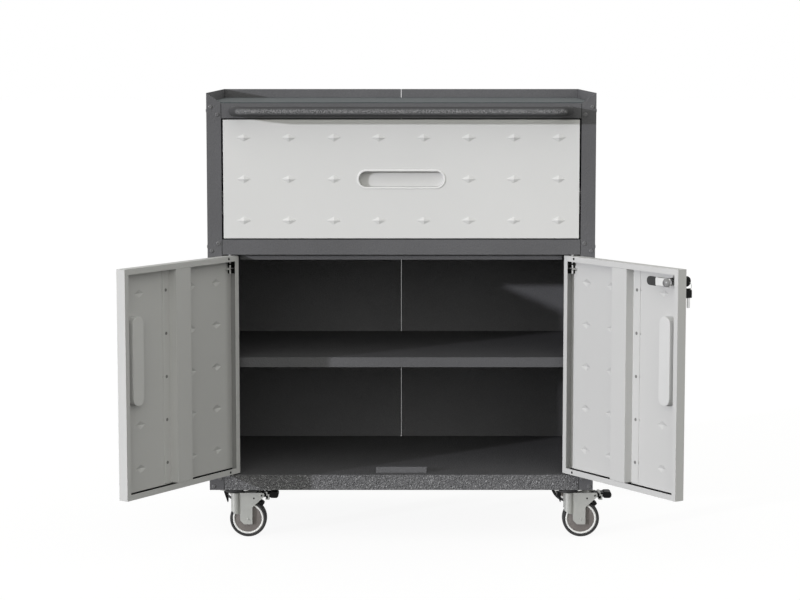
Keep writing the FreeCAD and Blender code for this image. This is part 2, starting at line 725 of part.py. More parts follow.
def make_door(hand, side):
    """Door pan with pressed diamonds, its stiffener, pull and hinge pins."""
    way = -side
    spot = door_spot(side)
    spots = []
    for row in range(DOOR_ROWS):
        for column in range(DOOR_COLUMNS):
            behind_pull = column == DOOR_COLUMNS - 1 and row in (DOOR_ROWS // 2, DOOR_ROWS // 2 + 1)
            if not behind_pull:
                x = mm("door_first_column") + column * mm("door_column_pitch")
                z = mm("door_level") + (row - (DOOR_ROWS - 1) / 2) * mm("door_row_pitch")
                spots.append((way * x, z))
    folded = pan(f"{hand}_door_pan", along(way, "-hinge_inset", "door_width"), "door_width", "skin",
                 "door_bottom", "door_top", "door_depth", "door_lip")
    guide = box(f"{hand}_bolt_guide", along(way, "-hinge_inset", "hinge_inset + guide_width / 2"), "skin",
                "door_top - guide_drop", "hinge_inset + guide_width / 2", "hinge_setback + guide_width / 2",
                "guide_height")
    pull_x = f"{way} * door_cup_place"
    holes = [pull_opening(f"{hand}_door_pull_opening", pull_x, "skin", "door_cup_level", True)]
    holes.append(rod(f"{hand}_door_pin_hole", "0", "0", "door_bottom - sheet", "hinge_pin / 2 + pin_play",
                     "door_height + 2 * sheet"))
    if side > 0:
        holes.append(rod("lock_hole", f"{way} * lock_place", "skin - sheet", "lock_level",
                         "lock_barrel_diameter / 2", "3 * sheet", "y"))
    welded = fuse(f"{hand}_door_welded", [folded, guide])
    finish(f"{hand}_door_panel", embossed(f"{hand}_door_panel", welded, spots, mm("skin"), holes), spot)
    finish(f"{hand}_door_pull", make_pull(f"{hand}_door_pull", pull_x, "skin", "door_cup_level", True), spot)
    make_stiffener(hand, way, spot)
    make_hinge_pins(hand, way, spot)


def make_stiffener(hand, way, spot):
    """Upright hat channel inside the door, flush with the inner lips."""
    low = "door_bottom + door_lip + stiffener_play"
    rise = "door_height - 2 * (door_lip + stiffener_play)"
    inside = "skin + sheet"
    depth = "door_depth - sheet"
    edge = "door_middle - stiffener_face / 2"
    face = box(f"{hand}_hat_face", along(way, edge, "stiffener_face"), "skin + door_depth - sheet", low,
               "stiffener_face", "sheet", rise)
    pieces = [face]
    for end, wall, flange in (("first", edge, f"{edge} - stiffener_flange"),
                              ("second", f"{edge} + stiffener_face - sheet", f"{edge} + stiffener_face")):
        pieces.append(box(f"{hand}_hat_{end}_wall", along(way, wall, "sheet"), inside, low,
                          "sheet", depth, rise))
        pieces.append(box(f"{hand}_hat_{end}_flange", along(way, flange, "stiffener_flange"), inside, low,
                          "stiffener_flange", "sheet", rise))
    finish(f"{hand}_door_stiffener", fuse(f"{hand}_door_stiffener", pieces), spot)


def make_hinge_pins(hand, way, spot):
    """Top bolt with a collar and a small lever to draw it down, and a plain bottom pin."""
    top_end = "mid_bottom + sheet + pin_engagement"
    pin_foot = "door_top - guide_drop - bolt_tail"
    pin = rod(f"{hand}_top_pin", "0", "0", pin_foot, "hinge_pin / 2", f"{top_end} - ({pin_foot})")
    collar_base = "door_top - guide_drop + guide_height + bolt_travel"
    collar = rod(f"{hand}_pin_collar", "0", "0", collar_base, "pin_collar / 2", "pin_collar_height")
    lever = rod(f"{hand}_pin_lever", "0", "0", f"{collar_base} + pin_collar_height / 2",
                "pin_lever_diameter / 2", "pin_lever", "y")
    finish(f"{hand}_hinge_bolt", fuse(f"{hand}_hinge_bolt", [pin, collar, lever]), spot)
    bottom_end = "base_top - sheet - pin_engagement"
    peg = rod(f"{hand}_bottom_peg", "0", "0", bottom_end, "hinge_pin / 2",
              f"door_bottom + sheet - ({bottom_end})")
    head = rod(f"{hand}_bottom_head", "0", "0", "door_bottom + sheet", "pin_collar / 2", "pin_collar_height")
    finish(f"{hand}_hinge_pin", fuse(f"{hand}_hinge_pin", [peg, head]), spot)


# Cam lock on the right-hand door, with a key in it and a spare on a ring

def make_lock():
    """Barrel, nut, cam with its plug, key in the plug and spare key on the ring."""
    spot = door_spot(1)
    x = "-lock_place"
    z = "lock_level"
    barrel_run = "cam_front - cam_gap / 2 - skin"
    barrel = rod("barrel_body", x, "skin", z, "lock_barrel_diameter / 2", barrel_run, "y")
    bezel = rod("barrel_bezel", x, "skin - lock_bezel_rise", z, "lock_bezel_diameter / 2",
                "lock_bezel_rise", "y")
    bore = rod("barrel_bore", x, "skin - 2 * lock_bezel_rise", z, "lock_plug_diameter / 2 + pin_play",
               f"{barrel_run} + 3 * lock_bezel_rise", "y")
    finish("lock_barrel", cut("lock_barrel", fuse("barrel_round", [barrel, bezel]), [bore]), spot)
    nut = doc.addObject("Part::Prism", "nut_blank")
    nut.Polygon = 6
    nut.Placement.Rotation = TURNS["y"]
    bind(nut, Circumradius="lock_nut_width / sqrt(3)", Height="lock_nut_height")
    place(nut, x, "skin + sheet", z)
    thread = rod("nut_hole", x, "skin", z, "lock_barrel_diameter / 2", "lock_nut_height + 3 * sheet", "y")
    finish("lock_nut", cut("lock_nut", nut, [thread]), spot)
    plug = rod("plug", x, "skin - lock_bezel_rise", z, "lock_plug_diameter / 2",
               "cam_front + cam_thickness - skin + lock_bezel_rise", "y")
    arm = box("cam_arm", x, "cam_front", f"{z} - cam_width / 2", "cam_length - cam_width / 2",
              "cam_thickness", "cam_width")
    eye = rod("cam_eye", x, "cam_front", z, "cam_width / 2", "cam_thickness", "y")
    nose = rod("cam_nose", f"{x} + cam_length - cam_width / 2", "cam_front", z, "cam_width / 2",
               "cam_thickness", "y")
    slot = box("key_slot", f"{x} - key_blade / 2 - key_slot_play", "skin - 2 * lock_bezel_rise",
               f"{z} - key_blade_width / 2 - key_slot_play", "key_blade + 2 * key_slot_play",
               "key_blade_length", "key_blade_width + 2 * key_slot_play")
    finish("lock_cam", cut("lock_cam", fuse("cam_solid", [plug, arm, eye, nose]), [slot]), spot)
    finish("lock_key", key("lock_key", x, z, "level"), spot)
    hang = f"{z} - ring_diameter - 2 * ring_seat"
    spare = key("hanging_key", x, hang, "down")
    ring = doc.addObject("Part::Torus", "key_ring")
    ring.Placement.Rotation = TURNS["y"]
    bind(ring, Radius1="ring_diameter / 2", Radius2="ring_wire / 2")
    place(ring, x, "ring_place", f"{z} - ring_seat - ring_diameter / 2")
    finish("spare_key", group("spare_key", [spare, ring]), spot)


def key(name, x, z, pose):
    """A flat key: round bow with a ring hole and a blade, lying level in the lock or hanging down."""
    left = f"{x} - key_thickness / 2"
    blade_left = f"{x} - key_blade / 2"
    hole_to_centre = "key_bow / 2 - key_hole / 2 - key_hole_margin"
    if pose == "level":
        centre_y, centre_z = "key_centre", z
        blade = box(f"{name}_blade", blade_left, "key_centre", f"{z} - key_blade_width / 2",
                    "key_blade", "key_blade_length", "key_blade_width")
    else:
        centre_y, centre_z = "ring_place", f"{z} - ({hole_to_centre})"
        blade = box(f"{name}_blade", blade_left, "ring_place - key_blade_width / 2",
                    f"{centre_z} - key_bow / 2 - key_blade_length", "key_blade", "key_blade_width",
                    "key_blade_length + key_bow / 4")
    bow = rod(f"{name}_bow", left, centre_y, centre_z, "key_bow / 2", "key_thickness", "x")
    eye = rod(f"{name}_eye", f"{left} - key_thickness", "ring_place", z, "key_hole / 2",
              "3 * key_thickness", "x")
    return cut(name, fuse(f"{name}_flat", [bow, blade]), [eye])


# Castors, built about the swivel axis with the wheel trailing towards +X

CASTORS = [
    ("front_left", -1, -1, 0, True),
    ("front_right", 1, -1, 0, True),
    ("rear_left", -1, 1, REAR_LEFT_YAW, False),
    ("rear_right", 1, 1, 0, False),
]


def corner_bars(name, x, y, z, radius, length):
    """Four upright round bars at the corners of a castor plate."""
    return [rod(f"{name}_{number}", f"{x} + ({sx} * bolt_spacing / 2)", f"{y} + ({sy} * bolt_spacing / 2)", z,
                radius, length)
            for number, (sx, sy) in enumerate(((-1, -1), (1, -1), (1, 1), (-1, 1)), start=1)]


def make_castor_beam(hand, side):
    """Channel under the floor, from front to back, that carries two castors."""
    x = sided(side, "castor_x - beam_width / 2", "beam_width")
    y = "front + screw_length + beam_end_gap"
    run = "body_depth - 2 * (screw_length + beam_end_gap)"
    web = box(f"{hand}_beam_web", x, y, "base_bottom", "beam_width", run, "beam_wall")
    walls = [box(f"{hand}_beam_first", x, y, "base_bottom", "beam_wall", run, "base_lip - sheet"),
             box(f"{hand}_beam_second", f"{x} + beam_width - beam_wall", y, "base_bottom", "beam_wall", run,
                 "base_lip - sheet")]
    holes = []
    for end, sign in (("front", "-"), ("rear", "")):
        holes += corner_bars(f"{hand}_{end}_beam_hole", f"{side} * castor_x", f"{sign}castor_y",
                             "base_bottom - beam_wall", "bolt_diameter / 2", "3 * beam_wall")
    finish(f"{hand}_castor_beam", cut(f"{hand}_castor_beam", fuse(f"{hand}_beam", [web] + walls), holes))


def make_castor_bolts():
    """Bolts through the castor plates and the beams, each with its head below and nut above."""
    bolts = []
    for name, side, end, yaw, braked in CASTORS:
        x, y = f"{side} * castor_x", f"{end} * castor_y"
        grip = "plate_thickness + beam_wall"
        shanks = corner_bars(f"{name}_shank", x, y, "plate_bottom", "bolt_diameter / 2", grip)
        heads = corner_bars(f"{name}_bolt_head", x, y, "plate_bottom - bolt_head_height", "bolt_head / 2",
                            "bolt_head_height")
        nuts = corner_bars(f"{name}_nut", x, y, f"plate_bottom + {grip}", "bolt_head / 2", "bolt_head_height")
        bolts += [fuse(f"{name}_bolt_{number}", list(trio))
                  for number, trio in enumerate(zip(shanks, heads, nuts), start=1)]
    finish("castor_bolts", group("castor_bolts", bolts))


def make_castor(name, side, end, yaw, braked):
    """One castor: plate with its race, fork, tyre, wheel core, axle and, in front, a brake pedal."""
    x, y = f"{side} * castor_x", f"{end} * castor_y"
    plate = box(f"{name}_plate_blank", f"{x} - plate_side / 2", f"{y} - plate_side / 2", "plate_bottom",
                "plate_side", "plate_side", "plate_thickness")
    race = rod(f"{name}_race", x, y, "race_bottom", "race_diameter / 2", "race_height")
    holes = corner_bars(f"{name}_plate_hole", x, y, "race_bottom", "bolt_diameter / 2", "2 * race_height")
    holes.append(rod(f"{name}_kingpin_hole", x, y, "race_bottom - race_play",
                     "kingpin_diameter / 2 + axle_play", "2 * race_height"))
    finish(f"{name}_castor_plate", cut(f"{name}_castor_plate", fuse(f"{name}_head", [plate, race]), holes))
    turn = FreeCAD.Rotation(FreeCAD.Vector(0, 0, 1), yaw)
    spot = FreeCAD.Placement(FreeCAD.Vector(side * mm("castor_x"), end * mm("castor_y"), 0), turn)
    make_fork(name, spot, braked)
    make_wheel(name, spot)
    if braked:
        make_brake(name, spot)


def make_fork(name, spot, braked):
    """Pressed fork: crown under the race, two legs down to the axle and, if braked, ears for the pedal."""
    crown = box(f"{name}_crown", "-race_diameter / 2", "-leg_outer", "crown_bottom",
                "race_diameter / 2 + fork_tail", "2 * leg_outer", "fork_wall")
    kingpin = rod(f"{name}_kingpin", "0", "0", "crown_bottom", "kingpin_diameter / 2",
                  "base_bottom - crown_bottom - race_play")
    axle_x = mm("castor_trail")
    axle_z = mm("wheel_radius")
    top = mm("crown_top")
    foot = axle_z - mm("leg_below_axle")
    left = axle_x - mm("leg_half_width")
    right = axle_x + mm("leg_half_width")
    tail = mm("ear_reach") if braked else mm("fork_tail")
    ear_foot = top - mm("ear_height")
    outline = [(-mm("fork_front"), top), (-mm("fork_front"), mm("leg_shoulder")), (left, axle_z),
               (left, foot + mm("leg_chamfer")), (left + mm("leg_chamfer"), foot), (right, foot),
               (right, mm("leg_shoulder")), (tail, ear_foot), (tail, top)]
    legs = []
    for hand, start in (("near", -mm("leg_outer")), ("far", mm("leg_inner"))):
        corners = [FreeCAD.Vector(px, start, pz) for px, pz in outline]
        face = Part.Face(Part.makePolygon(corners + corners[:1]))
        legs.append(solid_feature(f"{name}_{hand}_leg", face.extrude(FreeCAD.Vector(0, mm("fork_wall"), 0))))
    width = "2 * leg_outer + 2 * fork_wall"
    holes = [rod(f"{name}_fork_axle_hole", "castor_trail", "-leg_outer - fork_wall", "wheel_radius",
                 "axle_diameter / 2", width, "y")]
    if braked:
        holes.append(rod(f"{name}_brake_hole", "brake_pivot_reach", "-leg_outer - fork_wall", "brake_level",
                         "brake_pin / 2 + axle_play", width, "y"))
    joined = fuse(f"{name}_fork", [crown, kingpin] + legs)
    finish(f"{name}_castor_fork", cut(f"{name}_castor_fork", joined, holes), spot)


def make_wheel(name, spot):
    """Tyre on a moulded core that turns on the axle bolt."""
    axis = ("castor_trail", "wheel_radius")
    blank = rod(f"{name}_tyre_blank", axis[0], "-wheel_width / 2", axis[1], "wheel_radius",
                "wheel_width", "y")
    doc.recompute()
    rounded = doc.addObject("Part::Fillet", f"{name}_tyre_round")
    rounded.Base = blank
    shoulder = mm("tyre_shoulder")
    rounded.Edges = [(number, shoulder, shoulder) for number, edge in enumerate(blank.Shape.Edges, start=1)
                     if edge.Closed and len(edge.Vertexes) == 1]
    bore = rod(f"{name}_tyre_bore", axis[0], "-wheel_width", axis[1], "rim_radius", "2 * wheel_width", "y")
    finish(f"{name}_castor_tyre", cut(f"{name}_castor_tyre", rounded, [bore]), spot)
    rim = rod(f"{name}_rim", axis[0], "-wheel_width / 2 + wheel_dish", axis[1], "rim_radius",
              "wheel_width - 2 * wheel_dish", "y")
    hub = rod(f"{name}_hub", axis[0], "-leg_inner + race_play", axis[1], "axle_diameter",
              "2 * (leg_inner - race_play)", "y")
    cuts = [rod(f"{name}_core_bore", axis[0], "-wheel_width", axis[1], "axle_diameter / 2 + axle_play",
                "2 * wheel_width", "y")]
    for hand, start in (("near", "-wheel_width / 2 + wheel_dish"),
                        ("far", "wheel_width / 2 - wheel_dish - wheel_groove_depth")):
        ring = rod(f"{name}_{hand}_groove_ring", axis[0], start, axis[1], "wheel_groove_diameter / 2",
                   "wheel_groove_depth", "y")
        middle = rod(f"{name}_{hand}_groove_middle", axis[0], start, axis[1],
                     "wheel_groove_diameter / 2 - wheel_groove_width", "wheel_groove_depth", "y")
        cuts.append(cut(f"{name}_{hand}_groove", ring, [middle]))
    finish(f"{name}_castor_core", cut(f"{name}_castor_core", fuse(f"{name}_core", [rim, hub]), cuts), spot)
    pin = rod(f"{name}_axle_pin", axis[0], "-leg_outer", axis[1], "axle_diameter / 2",
              "2 * leg_outer", "y")
    heads = [rod(f"{name}_axle_{hand}_head", axis[0], start, axis[1], "axle_head / 2",
                 "axle_head_height", "y")
             for hand, start in (("near", "-leg_outer - axle_head_height"), ("far", "leg_outer"))]
    finish(f"{name}_castor_axle", fuse(f"{name}_castor_axle", [pin] + heads), spot)


def make_brake(name, spot):
    """Brake pedal: a tread on a hub between the fork's ears, with a shoe that swings to the tyre."""
    half = "(leg_inner - brake_play)"
    width = f"2 * {half}"
    hub = rod(f"{name}_pedal_hub", "brake_pivot_reach", f"-{half}", "brake_level", "brake_hub / 2",
              width, "y")
    pin = rod(f"{name}_pedal_pin", "brake_pivot_reach", "-leg_outer", "brake_level", "brake_pin / 2",
              "2 * leg_outer", "y")
    tread = box(f"{name}_pedal_tread", "brake_pivot_reach", f"-{half}", "brake_level - pedal_thickness / 2",
                "pedal_length - pedal_thickness / 2", width, "pedal_thickness")
    nose = rod(f"{name}_pedal_nose", "brake_pivot_reach + pedal_length - pedal_thickness / 2", f"-{half}",
               "brake_level", "pedal_thickness / 2", width, "y")
    shoe = box(f"{name}_pedal_shoe", "brake_pivot_reach - shoe_width / 2", f"-{half}",
               "brake_level - shoe_drop", "shoe_width", width, "shoe_drop")
    rib = box(f"{name}_pedal_rib", "ear_reach + brake_play", f"-{half}",
              "brake_level - pedal_thickness / 2 - pedal_lip", "pedal_lip", width, "pedal_lip")
    finish(f"{name}_brake_pedal", fuse(f"{name}_brake_pedal", [hub, pin, tread, nose, shoe, rib]), spot)


def write_parts():
    """Checks every object and writes each sub-part to its own file."""
    doc.recompute()
    failed = [thing.Name for thing in doc.Objects if "Invalid" in thing.State or "Error" in thing.State]
    failed += [thing.Label for thing in PARTS
               if thing.Shape.isNull() or not thing.Shape.isValid() or thing.Shape.Volume <= 0]
    if failed:
        raise RuntimeError("failed: " + ", ".join(failed))
    os.makedirs("parts", exist_ok=True)
    for thing in PARTS:
        thing.Shape.exportStep(f"parts/{thing.Label}.step")
    print(len(PARTS), "sub-parts written")


for hand, side in SIDES:
    make_side_panel(hand, side)
    make_back_panel(hand, side)
make_worktop()
make_mid_rail()
make_floor_panel()
make_shelf()
make_push_handle()
make_frame_screws()
make_drawer()
for hand, side in SIDES:
    make_door(hand, side)
make_lock()
for hand, side in SIDES:
    make_castor_beam(hand, side)
make_castor_bolts()
for castor in CASTORS:
    make_castor(*castor)
write_parts()
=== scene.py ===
"""Looks of the rolling tool cabinet: paints, platings, mouldings, light and camera.

Sizes in the shape functions are millimetres and become metres when a piece is laid down. Sizes in
the finishes, the light and the camera are metres. X runs to the right, Y to the back and Z up, with
the origin on the floor under the body.
"""
import json
import math

import bmesh
import bpy
import numpy as np
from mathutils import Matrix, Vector


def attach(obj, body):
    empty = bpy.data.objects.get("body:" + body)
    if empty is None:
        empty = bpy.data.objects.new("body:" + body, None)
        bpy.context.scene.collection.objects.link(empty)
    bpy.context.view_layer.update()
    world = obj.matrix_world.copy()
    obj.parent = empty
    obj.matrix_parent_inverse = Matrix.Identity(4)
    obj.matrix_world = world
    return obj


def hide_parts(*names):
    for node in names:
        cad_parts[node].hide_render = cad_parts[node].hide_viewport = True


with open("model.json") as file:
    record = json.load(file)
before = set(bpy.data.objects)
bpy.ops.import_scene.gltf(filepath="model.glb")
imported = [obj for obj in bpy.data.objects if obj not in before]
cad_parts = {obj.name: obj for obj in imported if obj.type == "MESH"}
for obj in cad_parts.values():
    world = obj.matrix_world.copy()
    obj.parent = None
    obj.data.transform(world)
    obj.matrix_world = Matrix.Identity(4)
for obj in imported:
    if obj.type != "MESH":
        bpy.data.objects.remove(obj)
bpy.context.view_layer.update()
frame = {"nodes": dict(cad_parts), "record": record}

METRE = 0.001
NODES = frame["nodes"]
HANDS = (("left", -1), ("right", 1))

# Places shared with the solids, in millimetres

FRONT, BACK, SIDE = -230.0, 230.0, 385.0
OPEN_TURN = math.radians(123)
HINGE_X, HINGE_REACH, SWING_CLEARANCE = 341.0, 15.0, 1.0
HINGE_SETBACK = (HINGE_REACH * math.sin(OPEN_TURN) - SWING_CLEARANCE) / (1 - math.cos(OPEN_TURN))
HINGE_Y = FRONT + HINGE_SETBACK
HANDLE_RADIUS, HANDLE_REACH, HANDLE_LEVEL = 10.0, 74.0, 865.0
WHEEL_TRAIL, WHEEL_RADIUS, RIM_RADIUS, WHEEL_WIDTH = 27.0, 37.5, 31.5, 24.0
# Each castor's swivel x and y, its turn in degrees, and whether it has a brake
CASTORS = {
    "front_left": (-338, -176, 0, True),
    "front_right": (338, -176, 0, True),
    "rear_left": (-338, 176, 145, False),
    "rear_right": (338, 176, 0, False),
}

# Points closer than the first are merged, and edges shorter than the second dissolved, in metres
WELD_REACH, SLIVER = 1e-6, 1e-7
# Widths of the solids' rounded edges, in millimetres
SHEET_EDGE, MAT_EDGE = 0.3, 0.5
# Angles past which the edges of a solid and of a new piece are rounded, in degrees
SOLID_CREASE, PIECE_CREASE = 35, 50


# Surfaces

def ring_faces(rings, points, close=False):
    """Quads between rings of points: each joins a point and the next one round with the two beside
    them on the next ring. With close, the last ring is joined to the first."""
    row, column = np.meshgrid(np.arange(rings if close else rings - 1), np.arange(points),
                              indexing="ij")
    next_row, next_column = (row + 1) % rings, (column + 1) % points
    corners = [row * points + column, row * points + next_column,
               next_row * points + next_column, next_row * points + column]
    return np.stack(corners, axis=-1).reshape(-1, 4)


def unit(rows):
    """Rows of numbers, each divided by its length."""
    return rows / np.linalg.norm(rows, axis=1, keepdims=True)


def arc(centre, radii, start, end, steps):
    """Points of an ellipse's arc: the centre plus the radii times the cosine and sine of an even
    sweep in degrees."""
    sweep = np.radians(np.linspace(start, end, steps))
    return np.column_stack([centre[0] + radii[0] * np.cos(sweep),
                            centre[1] + radii[1] * np.sin(sweep)])


def rounded(left, right, bottom, top, radius, steps=7):
    """Outline of a box with round corners: four quarter arcs."""
    corners = [((right - radius, top - radius), 0), ((left + radius, top - radius), 90),
               ((left + radius, bottom + radius), 180), ((right - radius, bottom + radius), 270)]
    return np.concatenate([arc(centre, (radius, radius), start, start + 90, steps)
                           for centre, start in corners])


def turned(profile, steps, loop=False):
    """A profile of (radius, height) pairs carried round the Z axis."""
    profile = np.asarray(profile, float)
    sweep = np.linspace(0, 2 * np.pi, steps, endpoint=False)
    points = np.stack([profile[:, :1] * np.cos(sweep), profile[:, :1] * np.sin(sweep),
                       np.repeat(profile[:, 1:], steps, axis=1)], axis=-1)
    return points.reshape(-1, 3), ring_faces(len(profile), steps, loop)


def turned_along_y(profile, steps, loop=False):
    """A profile of (radius, depth) pairs carried round the Y axis."""
    return swapped(turned(profile, steps, loop), (0, 2, 1))


def capped(points, ring):
    """Rings of points closed at both ends: each end ring is drawn together to its middle."""
    first, last = (np.repeat(end.mean(0)[None], ring, 0) for end in (points[:ring], points[-ring:]))
    closed = np.concatenate([first, points, last])
    return closed, ring_faces(len(closed) // ring, ring)


def carried(section, line):
    """A closed section of (across, up) pairs carried along a line of points, with a level side
    direction and capped ends."""
    ahead = unit(np.gradient(line, axis=0))
    across = unit(np.cross(ahead, (0, 0, 1.0)))
    up = np.cross(across, ahead)
    points = (line[:, None] + section[None, :, :1] * across[:, None]
              + section[None, :, 1:] * up[:, None])
    return capped(points.reshape(-1, 3), len(section))


def stadium(straight, radius, profile, steps=20):
    """A profile of (outset, depth) pairs carried round a round-ended slot: each point lies at the
    end circle's centre plus the radius and outset times a direction, and two half turns make the
    two ends."""
    profile = np.asarray(profile, float)
    quarter = np.pi / 2
    sweep = np.concatenate([np.linspace(-quarter, quarter, steps),
                            np.linspace(quarter, 3 * quarter, steps)])
    end = np.repeat([straight / 2, -straight / 2], steps)
    reach = radius + profile[:, :1]
    points = np.stack([end + reach * np.cos(sweep), np.repeat(profile[:, 1:], 2 * steps, axis=1),
                       reach * np.sin(sweep)], axis=-1)
    return points.reshape(-1, 3), ring_faces(len(profile), 2 * steps)


def at_depth(outline, depth):
    """An outline of (x, z) points set at one y."""
    return np.column_stack([outline[:, 0], np.full(len(outline), depth), outline[:, 1]])


def slab(outline, low, high):
    """An outline of (x, z) points carried from one y to another, with capped ends."""
    outline = np.asarray(outline, float)
    return capped(np.concatenate([at_depth(outline, low), at_depth(outline, high)]), len(outline))


def upright_slab(outline, low, high):
    """An outline of (y, z) points carried from one x to another, with capped ends."""
    return swapped(slab(outline, low, high), (1, 0, 2))


def shifted(surface, shift):
    """A surface moved by a shift."""
    points, faces = surface
    return points + np.asarray(shift, float), faces


def moved(surface, turn, shift):
    """A surface turned about the Z axis and then shifted."""
    points, faces = surface
    cosine, sine = math.cos(turn), math.sin(turn)
    spin = np.array([[cosine, -sine, 0], [sine, cosine, 0], [0, 0, 1]])
    return shifted((points @ spin.T, faces), shift)


def swapped(surface, order, signs=(1, 1, 1)):
    """A surface with its axes taken in another order, and some of them turned round."""
    points, faces = surface
    return points[:, order] * np.asarray(signs, float), faces


def bevel(piece, width, crease):
    """Rounds a piece's edges where its faces meet at more than an angle."""
    edge = piece.modifiers.new("edge", "BEVEL")
    edge.width, edge.segments, edge.limit_method = width * METRE, 2, "ANGLE"
    edge.angle_limit = math.radians(crease)


def lay(name, surfaces, body, finish, replaces=(), edge=0, sharp=40):
    """Puts surfaces, given as (points in millimetres, quads), into one mesh that rides on a body:
    doubles are merged, faces turned outwards and, where an edge is given, creases rounded."""
    starts = np.cumsum([0] + [len(surface[0]) for surface in surfaces[:-1]])
    points = np.concatenate([surface[0] for surface in surfaces]) * METRE
    faces = np.concatenate([surface[1] + start for surface, start in zip(surfaces, starts)])
    mesh = bpy.data.meshes.new(name)
    mesh.from_pydata(points.tolist(), [], faces.tolist())
    shape = bmesh.new()
    shape.from_mesh(mesh)
    bmesh.ops.remove_doubles(shape, verts=shape.verts, dist=WELD_REACH)
    bmesh.ops.dissolve_degenerate(shape, edges=shape.edges, dist=SLIVER)
    bmesh.ops.recalc_face_normals(shape, faces=shape.faces)
    shape.to_mesh(mesh)
    shape.free()
    mesh.polygons.foreach_set("use_smooth", np.ones(len(mesh.polygons), bool))
    mesh.set_sharp_from_angle(angle=math.radians(sharp))
    piece = bpy.data.objects.new(name, mesh)
    bpy.context.scene.collection.objects.link(piece)
    mesh.materials.append(finish)
    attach(piece, body)
    if replaces:
        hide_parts(*replaces)
    if edge:
        bevel(piece, edge, PIECE_CREASE)


# Finishes

def add_node(tree, kind, links=None, values=None, **settings):
    """A node with its settings, the values on its sockets and the links that come into it."""
    made = tree.nodes.new(kind)
    for key, value in settings.items():
        setattr(made, key, value)
    for key, value in (values or {}).items():
        made.inputs[key].default_value = value
    for key, source in (links or {}).items():
        tree.links.new(source, made.inputs[key])
    return made


class Finish:
    """A node material: even values sit on the shader's sockets, and patterns read Object
    coordinates."""

    # Nearly all of a soft noise lies between these values
    NOISE_LOW, NOISE_HIGH = 0.3, 0.7

    def __init__(self, name, colour, roughness, metallic=0.0, specular=0.5):
        self.material = bpy.data.materials.new(name)
        self.material.use_nodes = True
        self.tree = self.material.node_tree
        self.shader = self.tree.nodes["Principled BSDF"]
        even = {"Base Color": (*colour, 1), "Roughness": roughness, "Metallic": metallic,
                "Specular IOR Level": specular}
        for socket, value in even.items():
            self.shader.inputs[socket].default_value = value
        self.place = self.node("ShaderNodeTexCoord").outputs["Object"]

    def node(self, kind, links=None, values=None, **settings):
        return add_node(self.tree, kind, links, values, **settings)

    def noise(self, scale, detail=2.0, roughness=0.5, stretch=(1, 1, 1)):
        """Soft noise of a given number of waves in a metre, drawn out along an axis by stretch."""
        spread = self.node("ShaderNodeMapping", {"Vector": self.place}, {"Scale": stretch})
        return self.node("ShaderNodeTexNoise", {"Vector": spread.outputs["Vector"]},
                         {"Scale": scale, "Detail": detail, "Roughness": roughness}).outputs["Fac"]

    def cells(self, scale):
        """Rounded cells with a given number in a metre."""
        return self.node("ShaderNodeTexVoronoi", {"Vector": self.place},
                         {"Scale": scale, "Smoothness": 0.6},
                         feature="SMOOTH_F1").outputs["Distance"]

    def span(self, source, low, high, low_to, high_to):
        """A value carried from one range to another, held at the ends."""
        return self.node("ShaderNodeMapRange", {"Value": source},
                         {"From Min": low, "From Max": high,
                          "To Min": low_to, "To Max": high_to}).outputs["Result"]

    def sway(self, noise, low_to, high_to):
        """A noise carried to another range."""
        return self.span(noise, self.NOISE_LOW, self.NOISE_HIGH, low_to, high_to)

    def mix(self, share, first, second):
        """Two colours mixed by a share; each is a colour or the output of another node."""
        made = self.node("ShaderNodeMix", {"Factor": share}, data_type="RGBA")
        sockets = [socket for socket in made.inputs if socket.type == "RGBA"]
        for socket, value in zip(sockets, (first, second)):
            if isinstance(value, tuple):
                socket.default_value = (*value, 1)
            else:
                self.tree.links.new(value, socket)
        return [socket for socket in made.outputs if socket.type == "RGBA"][0]

    def drift(self, noise, first, second):
        """Two colours that a noise goes to and fro between."""
        return self.mix(self.sway(noise, 0.0, 1.0), first, second)

    def times(self, first, second):
        """Two values multiplied."""
        return self.node("ShaderNodeMath", {0: first, 1: second}, operation="MULTIPLY").outputs[0]

    def finished(self, colour, roughness, *heights):
        """The material with a colour, a roughness and a relief on its shader: the relief adds up
        heights, each a (source, distance in metres) pair."""
        normal = None
        for source, distance in heights:
            links = {"Height": source}
            if normal is not None:
                links["Normal"] = normal
            normal = self.node("ShaderNodeBump", links,
                               {"Strength": 1.0, "Distance": distance}).outputs["Normal"]
        for key, source in (("Base Color", colour), ("Roughness", roughness), ("Normal", normal)):
            self.tree.links.new(source, self.shader.inputs[key])
        return self.material


def hammered_paint(name, dark, light, fleck, grain=900, relief=0.0005):
    """Hammered powder coat: rounded pebbles, pale flecks of a given number in a metre and a slow
    drift of shade."""
    paint = Finish(name, dark, roughness=0.6, specular=0.05)
    pebbles = paint.cells(330)
    grit = paint.noise(grain, detail=3, roughness=0.65)
    shade = paint.drift(paint.noise(5, detail=3), dark, light)
    flecks = paint.span(grit, 0.54, 0.72, 0.0, 1.0)
    return paint.finished(paint.mix(flecks, shade, fleck), paint.sway(grit, 0.7, 0.45),
                          (pebbles, relief), (grit, 0.4 * relief))


